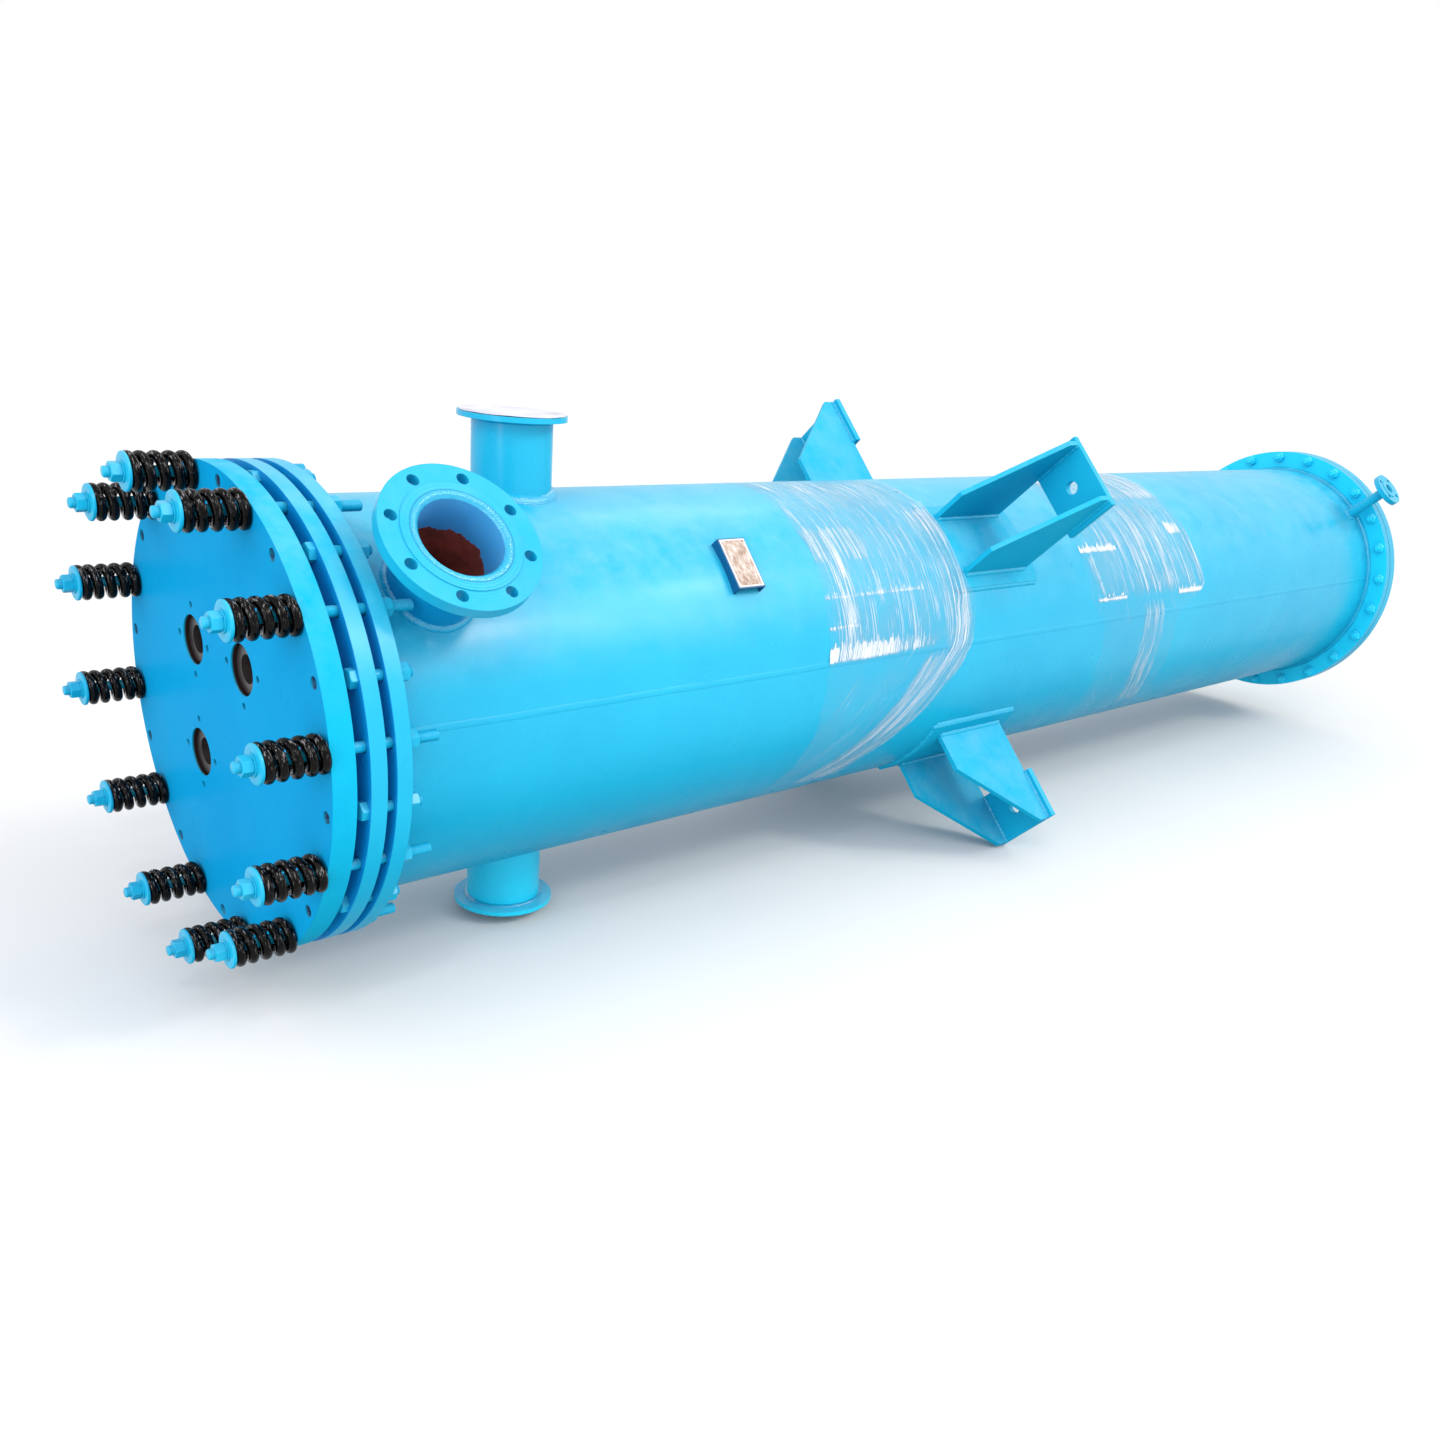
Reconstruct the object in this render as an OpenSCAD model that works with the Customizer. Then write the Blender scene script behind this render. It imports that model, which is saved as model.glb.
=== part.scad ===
/* [Shell] */
// Outside diameter of the shell
shell_od = 754; // [700:1:800]
// Wall of the shell
shell_wall = 8; // [6:0.5:12]
// Length between the outer faces of the two shell flanges
shell_len = 3928; // [3000:1:5000]

/* [Flange stack] */
// Width by which every body flange and cover stands out past the shell
flange_rim = 63; // [58:1:100]
// Distance of the bolt circle from the rim of the flanges
bolt_edge = 20; // [17:1:30]
// Thickness of the sprung end plate
plate_t = 42; // [30:1:60]
// Height of the header block that shows between end plate and clamp ring
header_gap = 24; // [18:1:40]
// Thickness of the clamp ring
clamp_t = 29; // [20:1:40]
// Rim of the tube sheet that shows between clamp ring and shell flange
sheet_gap = 17; // [12:1:30]
// Thickness of the shell flange at the sprung end
front_flange_t = 28; // [20:1:40]
// Thickness of the shell flange at the far end
far_flange_t = 30; // [20:1:40]
// Thickness of the gasket at the far end
far_gasket_t = 4; // [2:0.5:8]
// Thickness of the far cover
far_cover_t = 36; // [25:1:50]
// Distance of the header block's rim inside the outside of the shell
header_inset = 9; // [4:1:30]
// Clearance round the header block inside the clamp ring
header_clear = 2; // [1:0.5:5]
// Clearance between the tube sheet's rim and the bolt holes
sheet_clear = 13; // [5:0.5:20]
// Clearance between the far gasket's rim and the bolt holes
gasket_clear = 11; // [4:0.5:20]

/* [Bolting] */
// Diameter of studs and bolts
bolt_d = 20; // [16:1:22]
// Clearance of a bolt in its hole, on the diameter
bolt_clear = 2; // [1:0.5:3]
// Width across flats of nuts and bolt heads
nut_af = 30; // [27:1:32]
// Height of a nut
nut_h = 18; // [14:1:22]
// Height of a bolt head
head_h = 12.5; // [10:0.5:16]
// Thread that stands past the nut of a clamp bolt or a far bolt
bolt_past = 8; // [4:1:14]
// Thread that stands past the rear nut of a spring stud
stud_past_rear = 40; // [10:1:60]
// Thread that stands past the front nut of a spring stud
stud_past_front = 10; // [6:1:30]

/* [Springs] */
// Outside diameter of a compression spring
spring_od = 68; // [62:1:70]
// Diameter of the spring wire
wire_d = 18; // [14:0.5:18.5]
// Length of a spring as fitted
spring_len = 107; // [105:1:130]
// Open turns between the two closed end turns
open_turns = 2.9; // [2.2:0.1:3.1]
// Diameter of the dished washer on a spring
cap_od = 66; // [50:1:70]
// Thickness of the dished washer at its rim
cap_rim_t = 6; // [4:0.5:10]
// Height of the boss on the dished washer
cap_boss_h = 3; // [2:0.5:8]
// Diameter of the boss on the dished washer
cap_boss_d = 44; // [38:1:48]

/* [Ports in the end plate] */
// Diameter of a port's opening
port_d = 92; // [70:1:110]
// Distance of a port from the axis of the vessel
port_reach = 153; // [120:1:200]
// Diameter of the channel in the graphite behind a port
channel_d = 50; // [30:1:65]
// Depth of that channel past the back of the plate
channel_depth = 40; // [20:1:50]
// Distance of the graphite sleeve's face behind the outer face of the plate
port_recess = 10; // [4:1:20]
// Clearance round the graphite sleeve in its port
sleeve_clear = 1; // [0.5:0.5:3]
// Diameter of the sleeve's bore
sleeve_bore = 52; // [30:1:66]
// Circle of the tapped holes round a port
port_pcd = 130; // [112:1:140]
// Turn of the tapped holes from the line to the axis of the vessel
port_turn = 45; // [0:1:90]
// Diameter of a tapped hole
port_hole_d = 13; // [8:1:14]
// Depth of a tapped hole
port_hole_depth = 24; // [10:1:28]

/* [Sloping nozzle] */
// Distance of the nozzle behind the rear tips of the spring studs
inlet_room = 72; // [60:1:120]
// Slope of the nozzle above the level
inlet_angle = 45; // [30:1:60]
// Height of its flange face above the shell
inlet_stand = 150.5; // [110:0.5:220]
// Outside diameter of its pipe and of the two upright pipes
pipe_od = 159; // [140:1:168]
// Wall of those pipes
pipe_wall = 4.5; // [3:0.5:8]
// Depth to which the pipes stand inside the shell wall
pipe_inside = 12; // [8:1:30]
// Outside diameter of the flange
inlet_flange_od = 285; // [270:1:300]
// Thickness of the flange with its raised face
inlet_flange_t = 24; // [18:1:32]
// Bolt circle of the flange
inlet_pcd = 240; // [230:1:245]
// Bolt holes in the flange
inlet_holes = 8; // [4:4:12]
// Diameter of a bolt hole
inlet_hole_d = 22; // [18:1:24]
// Diameter of the raised face
inlet_face_d = 212; // [190:1:214]
// Height of the raised face
face_h = 2; // [1:0.5:4]
// Distance of the pipe's end from the flange face
pipe_setback = 5; // [3:0.5:8]

/* [Upright nozzles] */
// Distance of both nozzles behind the sloping nozzle
upright_gap = 330; // [260:1:500]
// Height of the upper nozzle's face above the shell
top_stand = 151; // [100:1:220]
// Height of the lower nozzle's face above the shell
bottom_stand = 139; // [100:1:150]
// Outside diameter of the collars
collar_od = 214; // [200:1:240]
// Thickness of the collars
collar_t = 10; // [8:0.5:16]
// Distance of a pipe's end from its collar's face
collar_setback = 3; // [2:0.5:5]
// Diameter of the cover sheet on the upper nozzle
cover_d = 206; // [180:1:210]
// Thickness of the cover sheet
cover_t = 2; // [1:0.5:3]

/* [Vent] */
// Distance of the vent from the far shell flange
vent_set = 50; // [45:1:1200]
// Slope of the vent above the level
vent_angle = 44; // [41:1:49]
// Height of the vent's flange face above the shell
vent_stand = 157; // [110:1:220]
// Outside diameter of the vent pipe
vent_od = 34; // [25:1:36]
// Wall of the vent pipe
vent_wall = 3.5; // [2:0.5:5]
// Depth to which the vent pipe stands inside the shell wall
vent_inside = 3.5; // [2:0.5:12]
// Outside diameter of the vent flange
vent_flange_od = 115; // [105:1:120]
// Thickness of the vent flange with its raised face
vent_flange_t = 18; // [14:1:22]
// Bolt circle of the vent flange
vent_pcd = 85; // [82:1:90]
// Diameter of a bolt hole in the vent flange
vent_hole_d = 14; // [10:1:15]
// Diameter of the vent's raised face
vent_face_d = 66; // [55:1:68]
// Distance of the vent pipe's end from its flange face
vent_setback = 4; // [3:0.5:6]

/* [Lugs] */
// Distance of the lugs' bearing plates from the outer face of the end plate
lug_x = 1928; // [1500:1:2600]
// Slope of the upper and lower lugs from the level
lug_angle = 45; // [40:1:50]
// Length of a gusset along the shell
gusset_len = 246; // [200:1:300]
// Thickness of a gusset
gusset_t = 12; // [8:1:20]
// Distance of a gusset's outer face in from the edge of the bearing plate
gusset_inset = 13; // [4:1:30]
// Height above the pad at which a gusset starts to slope
gusset_rise = 89; // [40:1:120]
// Width of the flat tip of a gusset
gusset_tip = 33; // [10:1:60]
// Height of a lug above its pad
lug_reach = 280; // [240:1:340]
// Height of a bearing plate, from its inner to its outer edge
base_h = 139; // [100:1:180]
// Width of a bearing plate
base_w = 196; // [184:1:220]
// Thickness of a bearing plate
base_t = 16; // [10:1:24]
// Diameter of the anchor hole in a bearing plate
base_hole_d = 32; // [20:1:40]
// Length of pad that shows before and behind the gussets
pad_over = 37.5; // [15:0.5:60]
// Width of pad that shows beside the gussets
pad_side = 33; // [15:1:60]
// Thickness of a pad
pad_t = 8; // [6:0.5:12]

/* [Nameplate] */
// Distance of the nameplate's middle from the outer face of the end plate
nameplate_x = 974; // [850:1:1400]
// Slope of the nameplate above the level
nameplate_angle = 43; // [30:1:60]
// Length of the bracket along the shell
nameplate_len = 74; // [60:1:120]
// Width of the bracket round the shell
nameplate_w = 118; // [90:1:140]
// Height of the bracket's face above the shell
nameplate_stand = 17; // [12:1:40]
// Sheet thickness of the bracket
bracket_t = 3; // [2:0.5:5]
// Thickness of the blank nameplate
nameplate_t = 1.5; // [1:0.5:3]
// Border of the bracket that the nameplate leaves free
nameplate_border = 3; // [1:0.5:8]

/* [Impingement plate] */
// Depth of the plate's outer face below the bore of the shell
imp_depth = 49; // [40:1:80]
// Length and width of the plate
imp_size = 210; // [180:1:240]
// Thickness of the plate and its legs
imp_t = 8; // [6:1:12]

/* [Hidden] */

// One spring stud and one clamp bolt take turns round the circle
spring_count = 12;
spring_step = 360 / spring_count;
spring_phase = spring_step / 4;
far_bolt_count = 24;
far_bolt_step = 360 / far_bolt_count;

// Paint and bare materials
paint = [0.10, 0.68, 0.90];
paint_shade = [0.08, 0.60, 0.84];
spring_black = [0.06, 0.05, 0.05];
graphite = [0.20, 0.19, 0.19];
rubber = [0.13, 0.12, 0.12];
paper = [0.93, 0.94, 0.93];
tin = [0.78, 0.72, 0.64];
primer = [0.38, 0.14, 0.10];

shell_r = shell_od / 2;
shell_bore_r = shell_r - shell_wall;
flange_od = shell_od + 2 * flange_rim;
bolt_circle = flange_od - 2 * bolt_edge;
bolt_circle_r = bolt_circle / 2;
bolt_hole_d = bolt_d + bolt_clear;
header_od = shell_od - 2 * header_inset;
sheet_od = bolt_circle - bolt_hole_d - 2 * sheet_clear;
far_gasket_od = bolt_circle - bolt_hole_d - 2 * gasket_clear;

// Stations along the axis, from the outer face of the end plate
plate_back = plate_t;
clamp_front = plate_back + header_gap;
clamp_back = clamp_front + clamp_t;
shell_front = clamp_back + sheet_gap;
front_flange_back = shell_front + front_flange_t;
shell_back = shell_front + shell_len;
far_flange_front = shell_back - far_flange_t;
far_cover_front = shell_back + far_gasket_t;
far_cover_back = far_cover_front + far_cover_t;
cap_front = -spring_len - cap_rim_t - cap_boss_h;
stud_tip = cap_front - nut_h - stud_past_front;
stud_rear = front_flange_back + nut_h + stud_past_rear;
inlet_x = stud_rear + inlet_room;
upright_x = inlet_x + upright_gap;
vent_x = far_flange_front - vent_set;
far_end = far_cover_back + head_h;

// Distances from the axis of the vessel
pad_r = shell_r + pad_t;
inlet_reach = shell_r + inlet_stand;
top_reach = shell_r + top_stand;
bottom_reach = shell_r + bottom_stand;
vent_reach = shell_r + vent_stand;
gusset_shoulder = pad_r + gusset_rise;
base_outer = pad_r + lug_reach;
base_inner = base_outer - base_h;
nameplate_reach = shell_r + nameplate_stand;
imp_reach = shell_bore_r - imp_depth;
pipe_root = sqrt(pow(shell_bore_r, 2) - pow(pipe_od / 2, 2)) - pipe_inside;
vent_root = sqrt(pow(shell_bore_r, 2) - pow(vent_od / 2, 2)) - vent_inside;

// Widths of a lug
gusset_span = base_w - 2 * gusset_inset;
pad_len = gusset_len + 2 * pad_over;
pad_w = gusset_span + 2 * pad_side;

// The part rests on its lower lugs or its lower nozzle, with its middle over the origin
middle_x = (stud_tip + far_end) / 2;
axis_z = max(base_outer * sin(lug_angle) + base_w / 2 * cos(lug_angle), bottom_reach);

lug_angles = [lug_angle, 180 - lug_angle, 180 + lug_angle, -lug_angle];
port_angles = [45, 135, -135];
cut = 1;
$fn = 96;

// Along the vessel: local Z becomes the axis of the vessel
module along(x) {
    translate([x - middle_x, 0, axis_z])
        rotate([0, 90, 0])
            children();
}

// Out of the vessel: local X runs along the axis and local Z points away from it
module outward(x, angle) {
    translate([x - middle_x, 0, axis_z])
        rotate([90 - angle, 0, 0])
            children();
}

// Copies round the bolt circle: local Z runs along the vessel
module round_circle(x, count, phase) {
    for (i = [0 : count - 1])
        at_angle(x, phase + i * 360 / count)
            children();
}

// One place on the bolt circle, its angle counted from the level near side upwards
module at_angle(x, angle) {
    outward(x, angle)
        translate([0, 0, bolt_circle_r])
            rotate([0, 90, 0])
                children();
}

// A ring along local Z
module ring(outer_d, inner_d, height) {
    difference() {
        cylinder(d = outer_d, h = height);
        translate([0, 0, -cut])
            cylinder(d = inner_d, h = height + 2 * cut);
    }
}

// A hexagon along local Z, bored for its stud where a bore is given
module hexagon(height, bore) {
    difference() {
        cylinder(d = nut_af / cos(30), h = height, $fn = 6);
        if (bore > 0)
            translate([0, 0, -cut])
                cylinder(d = bore, h = height + 2 * cut);
    }
}

// All the bolt holes through a disc that lies between two stations
module bolt_holes(from, to, count, phase) {
    round_circle(from - cut, count, phase)
        cylinder(d = bolt_hole_d, h = to - from + 2 * cut, $fn = 32);
}

// A pipe that stands through the shell wall
module nozzle_pipe(od, wall, from, to) {
    translate([0, 0, from])
        ring(od, od - 2 * wall, to - from);
}

// A flange with a raised face and straddling bolt holes, its face at the given reach
module raised_flange(od, thickness, bore, face_d, reach, pcd, holes, hole_d) {
    translate([0, 0, reach - thickness])
        difference() {
            union() {
                cylinder(d = od, h = thickness - face_h);
                cylinder(d = face_d, h = thickness);
            }
            translate([0, 0, -cut])
                cylinder(d = bore, h = thickness + 2 * cut);
            for (i = [0 : holes - 1])
                rotate([0, 0, (i + 0.5) * 360 / holes])
                    translate([pcd / 2, 0, -cut])
                        cylinder(d = hole_d, h = thickness + 2 * cut, $fn = 32);
        }
}

module shell() {
    color(paint)
        difference() {
            along(shell_front)
                ring(shell_od, shell_od - 2 * shell_wall, shell_len);
            outward(inlet_x, inlet_angle)
                cylinder(d = pipe_od, h = shell_od);
            outward(upright_x, 90)
                cylinder(d = pipe_od, h = shell_od);
            outward(upright_x, -90)
                cylinder(d = pipe_od, h = shell_od);
            outward(vent_x, vent_angle)
                cylinder(d = vent_od, h = shell_od);
        }
}

module front_flange() {
    color(paint)
        difference() {
            along(shell_front)
                ring(flange_od, shell_od, front_flange_t);
            bolt_holes(shell_front, front_flange_back, 2 * spring_count, spring_phase);
        }
}

module clamp_ring() {
    color(paint)
        difference() {
            along(clamp_front)
                ring(flange_od, header_od + 2 * header_clear, clamp_t);
            bolt_holes(clamp_front, clamp_back, 2 * spring_count, spring_phase);
        }
}

module end_plate() {
    color(paint_shade)
        difference() {
            along(0)
                cylinder(d = flange_od, h = plate_t);
            bolt_holes(0, plate_back, 2 * spring_count, spring_phase);
            for (angle = port_angles)
                port_axis(angle) {
                    translate([0, 0, -cut])
                        cylinder(d = port_d, h = plate_t + 2 * cut);
                    port_tappings();
                }
        }
}

// The axis of a port, with local Z running into the plate from its outer face
module port_axis(angle) {
    outward(0, angle)
        translate([0, 0, port_reach])
            rotate([0, 90, 0])
                children();
}

// Four blind tapped holes round a port
module port_tappings() {
    for (i = [0 : 3])
        rotate([0, 0, port_turn + i * 90])
            translate([port_pcd / 2, 0, -cut])
                cylinder(d = port_hole_d, h = port_hole_depth + cut, $fn = 24);
}

module header_block() {
    color(graphite)
        difference() {
            along(plate_back)
                cylinder(d = header_od, h = header_gap + clamp_t);
            for (angle = port_angles)
                port_axis(angle)
                    translate([0, 0, plate_t - cut])
                        cylinder(d = channel_d, h = channel_depth + cut);
        }
}

// A graphite sleeve in each port, from the block to just behind the face of the plate
module port_sleeves() {
    color(graphite)
        for (angle = port_angles)
            port_axis(angle)
                translate([0, 0, port_recess])
                    ring(port_d - 2 * sleeve_clear, sleeve_bore, plate_t - port_recess);
}

module tube_sheet() {
    color(graphite)
        along(clamp_back)
            cylinder(d = sheet_od, h = sheet_gap);
}

// Rise of the spring's centre line, as a share of its turns: closed, open, closed
end_rise = wire_d * 1.02;
ground = wire_d * 0.45;
open_rise = spring_len - 2 * end_rise - wire_d + 2 * ground;
total_turns = open_turns + 2;
function rise(turn) =
    turn < 1 ? turn * end_rise
    : turn < 1 + open_turns ? end_rise + (turn - 1) * open_rise / open_turns
    : end_rise + open_rise + (turn - 1 - open_turns) * end_rise;

wire_sides = 6;
rings_per_turn = 14;
ring_count = ceil(total_turns * rings_per_turn);

// One point of the wire's skin, held between the two ground ends
function wire_point(ring, side) =
    let (turn = ring / ring_count * total_turns)
    let (around = turn * 360)
    let (lean = side * 360 / wire_sides)
    let (out = (spring_od - wire_d) / 2 + wire_d / 2 * cos(lean))
    let (up = wire_d / 2 - ground + rise(turn) + wire_d / 2 * sin(lean))
    [out * cos(around), out * sin(around), min(max(up, 0), spring_len)];

module coil_spring() {
    points = [for (r = [0 : ring_count]) for (s = [0 : wire_sides - 1]) wire_point(r, s)];
    skin = [
        for (r = [0 : ring_count - 1])
            for (s = [0 : wire_sides - 1])
                let (a = r * wire_sides, t = (s + 1) % wire_sides)
                each [[a + s, a + t, a + wire_sides + t], [a + s, a + wire_sides + t, a + wire_sides + s]]
    ];
    first = [for (s = [wire_sides - 1 : -1 : 0]) s];
    last = [for (s = [0 : wire_sides - 1]) ring_count * wire_sides + s];
    polyhedron(points = points, faces = concat(skin, [first, last]), convexity = 8);
}

// Every spring is set with the tips of its wire on the side away from the inlet
tip_turn = 20;
module spring(i) {
    angle = spring_phase + (i - 1) * spring_step;
    color(spring_black)
        at_angle(0, angle)
            rotate([180, 0, angle - tip_turn])
                coil_spring();
}

module spring_studs() {
    color(paint)
        round_circle(stud_tip, spring_count, spring_phase)
            cylinder(d = bolt_d, h = front_flange_back + nut_h + stud_past_rear - stud_tip, $fn = 32);
}

// A dished washer: a rim on the spring that slopes up to a boss under the nut
module spring_caps() {
    color(paint)
        round_circle(cap_front, spring_count, spring_phase)
            rotate_extrude($fn = 48)
                polygon([
                    [bolt_d / 2, 0],
                    [cap_boss_d / 2, 0],
                    [cap_od / 2, cap_boss_h],
                    [cap_od / 2, cap_boss_h + cap_rim_t],
                    [bolt_d / 2, cap_boss_h + cap_rim_t]
                ]);
}

module spring_nuts() {
    color(paint)
        round_circle(cap_front - nut_h, spring_count, spring_phase)
            hexagon(nut_h, bolt_d);
}

module stud_rear_nuts() {
    color(paint)
        round_circle(front_flange_back, spring_count, spring_phase)
            hexagon(nut_h, bolt_d);
}

module clamp_bolts() {
    color(paint)
        round_circle(clamp_front - head_h, spring_count, spring_phase + spring_step / 2) {
            hexagon(head_h, 0);
            cylinder(d = bolt_d, h = head_h + front_flange_back + nut_h + bolt_past - clamp_front, $fn = 32);
        }
}

module clamp_bolt_nuts() {
    color(paint)
        round_circle(front_flange_back, spring_count, spring_phase + spring_step / 2)
            hexagon(nut_h, bolt_d);
}

module far_flange() {
    color(paint)
        difference() {
            along(far_flange_front)
                ring(flange_od, shell_od, far_flange_t);
            bolt_holes(far_flange_front, shell_back, far_bolt_count, far_bolt_step / 2);
        }
}

module far_gasket() {
    color(rubber)
        along(shell_back)
            ring(far_gasket_od, shell_od - 2 * shell_wall, far_gasket_t);
}

module far_cover() {
    color(paint)
        difference() {
            along(far_cover_front)
                cylinder(d = flange_od, h = far_cover_t);
            bolt_holes(far_cover_front, far_cover_back, far_bolt_count, far_bolt_step / 2);
        }
}

module far_bolts() {
    color(paint)
        round_circle(far_flange_front - nut_h - bolt_past, far_bolt_count, far_bolt_step / 2) {
            cylinder(d = bolt_d, h = far_end - far_flange_front + nut_h + bolt_past, $fn = 32);
            translate([0, 0, far_cover_back - far_flange_front + nut_h + bolt_past])
                hexagon(head_h, 0);
        }
}

module far_bolt_nuts() {
    color(paint)
        round_circle(far_flange_front - nut_h, far_bolt_count, far_bolt_step / 2)
            hexagon(nut_h, bolt_d);
}

module inlet_pipe() {
    color(paint)
        outward(inlet_x, inlet_angle)
            nozzle_pipe(pipe_od, pipe_wall, pipe_root, inlet_reach - pipe_setback);
}

module inlet_flange() {
    color(paint)
        outward(inlet_x, inlet_angle)
            raised_flange(inlet_flange_od, inlet_flange_t, pipe_od, inlet_face_d, inlet_reach,
                inlet_pcd, inlet_holes, inlet_hole_d);
}

module top_pipe() {
    color(paint)
        outward(upright_x, 90)
            nozzle_pipe(pipe_od, pipe_wall, pipe_root, top_reach - collar_setback);
}

module top_collar() {
    color(paint)
        outward(upright_x, 90)
            translate([0, 0, top_reach - collar_t])
                ring(collar_od, pipe_od, collar_t);
}

module top_cover() {
    color(paper)
        outward(upright_x, 90)
            translate([0, 0, top_reach])
                cylinder(d = cover_d, h = cover_t);
}

module bottom_pipe() {
    color(paint)
        outward(upright_x, -90)
            nozzle_pipe(pipe_od, pipe_wall, pipe_root, bottom_reach - collar_setback);
}

module bottom_collar() {
    color(paint)
        outward(upright_x, -90)
            translate([0, 0, bottom_reach - collar_t])
                ring(collar_od, pipe_od, collar_t);
}

module vent_pipe() {
    color(paint)
        outward(vent_x, vent_angle)
            nozzle_pipe(vent_od, vent_wall, vent_root, vent_reach - vent_setback);
}

module vent_flange() {
    color(paint)
        outward(vent_x, vent_angle)
            raised_flange(vent_flange_od, vent_flange_t, vent_od, vent_face_d, vent_reach,
                vent_pcd, 4, vent_hole_d);
}

// Everything inside a radius round the vessel's axis, in a lug's own directions
module core(radius, length) {
    translate([-length / 2, 0, 0])
        rotate([0, 90, 0])
            cylinder(r = radius, h = length, $fn = 180);
}

module lug_pads() {
    pad_x = lug_x - gusset_len / 2;
    color(paint)
        for (angle = lug_angles)
            outward(pad_x, angle)
                intersection() {
                    difference() {
                        core(pad_r, pad_len);
                        core(shell_r, pad_len + 2 * cut);
                    }
                    translate([-pad_len / 2 - cut, -pad_w / 2, 0])
                        cube([pad_len + 2 * cut, pad_w, pad_r]);
                }
}

// A gusset's outline: local X along the vessel back from the bearing plate, local Y outwards
module gusset_outline() {
    polygon([
        [0, 0],
        [0, base_outer],
        [-gusset_tip, base_outer],
        [-gusset_len, gusset_shoulder],
        [-gusset_len, 0]
    ]);
}

module lug_gussets() {
    color(paint)
        for (angle = lug_angles)
            outward(lug_x, angle)
                difference() {
                    for (side = [-gusset_span / 2 + gusset_t, gusset_span / 2])
                        translate([0, side, 0])
                            rotate([90, 0, 0])
                                linear_extrude(gusset_t)
                                    gusset_outline();
                    core(pad_r, 2 * gusset_len + 2 * cut);
                }
}

module lug_bases() {
    color(paint)
        for (angle = lug_angles)
            outward(lug_x, angle)
                difference() {
                    translate([0, -base_w / 2, base_inner])
                        cube([base_t, base_w, base_outer - base_inner]);
                    translate([-cut, 0, (base_inner + base_outer) / 2])
                        rotate([0, 90, 0])
                            cylinder(d = base_hole_d, h = base_t + 2 * cut, $fn = 48);
                }
}

// A folded sheet bracket: a face with two legs that reach down to the shell
module nameplate_bracket() {
    face = nameplate_reach - bracket_t;
    color(paint)
        outward(nameplate_x, nameplate_angle)
            difference() {
                translate([-nameplate_len / 2, -nameplate_w / 2, 0])
                    cube([nameplate_len, nameplate_w, nameplate_reach]);
                translate([-nameplate_len / 2 + bracket_t, -nameplate_w / 2 - cut, 0])
                    cube([nameplate_len - 2 * bracket_t, nameplate_w + 2 * cut, face]);
                core(shell_r, nameplate_len + 2 * cut);
            }
}

module nameplate() {
    length = nameplate_len - 2 * nameplate_border;
    width = nameplate_w - 2 * nameplate_border;
    color(tin)
        outward(nameplate_x, nameplate_angle)
            translate([-length / 2, -width / 2, nameplate_reach])
                cube([length, width, nameplate_t]);
}

// A plate inside the sloping nozzle that spreads the stream, on two legs from the shell wall
module impingement_plate() {
    color(primer)
        outward(inlet_x, inlet_angle)
            intersection() {
                core(shell_bore_r, imp_size + 2 * cut);
                union() {
                    translate([-imp_size / 2, -imp_size / 2, imp_reach - imp_t])
                        cube([imp_size, imp_size, imp_t]);
                    for (side = [-imp_size / 2, imp_size / 2 - imp_t])
                        translate([-imp_size / 2, side, imp_reach - imp_t])
                            cube([imp_size, imp_t, shell_r]);
                }
            }
}

shell();
front_flange();
clamp_ring();
end_plate();
header_block();
port_sleeves();
tube_sheet();
for (i = [1 : spring_count])
    spring(i);
spring_studs();
spring_caps();
spring_nuts();
stud_rear_nuts();
clamp_bolts();
clamp_bolt_nuts();
far_flange();
far_gasket();
far_cover();
far_bolts();
far_bolt_nuts();
inlet_pipe();
inlet_flange();
top_pipe();
top_collar();
top_cover();
bottom_pipe();
bottom_collar();
vent_pipe();
vent_flange();
lug_pads();
lug_gussets();
lug_bases();
nameplate_bracket();
nameplate();
impingement_plate();
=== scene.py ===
# %% [markdown]
# # A graphite heat exchanger, dressed for its picture
# The part is a long blue steel vessel that lies on its side. Its left end is the skilled piece of work:
# twelve coil springs press a heavy plate on the graphite inside, so that the brittle graphite stays sealed
# while the vessel grows and shrinks with heat. The CAD model gives every main shape, and stays where it is.
# This lesson adds what a machine shop and a paint gun add: smooth springs, chamfered nuts, threads, welds
# and enamel. Two bands of clear film are wound round the shell as well.

import bmesh
import bpy
import numpy as np
from mathutils import Matrix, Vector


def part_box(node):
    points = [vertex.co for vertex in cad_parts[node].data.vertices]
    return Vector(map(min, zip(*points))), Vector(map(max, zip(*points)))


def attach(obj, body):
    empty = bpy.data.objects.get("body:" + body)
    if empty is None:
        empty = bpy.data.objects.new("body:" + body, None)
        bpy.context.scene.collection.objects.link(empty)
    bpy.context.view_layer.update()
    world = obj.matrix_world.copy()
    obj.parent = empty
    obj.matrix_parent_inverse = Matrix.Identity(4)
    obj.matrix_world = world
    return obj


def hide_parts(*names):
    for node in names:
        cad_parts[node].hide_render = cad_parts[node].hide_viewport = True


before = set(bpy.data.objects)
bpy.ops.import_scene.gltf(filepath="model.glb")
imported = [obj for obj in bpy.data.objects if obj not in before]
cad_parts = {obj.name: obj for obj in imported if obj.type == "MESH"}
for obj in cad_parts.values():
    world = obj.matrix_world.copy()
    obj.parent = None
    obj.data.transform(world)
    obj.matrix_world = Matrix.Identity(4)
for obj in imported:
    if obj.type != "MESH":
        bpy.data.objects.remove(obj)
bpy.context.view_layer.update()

# %% [markdown]
# ## Directions on a vessel
# A fitter reads a vessel by three numbers: how far along it, at what angle round it, and how far out from
# its axis. One helper turns those into points of the shared frame, so every later formula can be written in
# millimetres from the outer face of the end plate, as on a workshop drawing.

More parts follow.
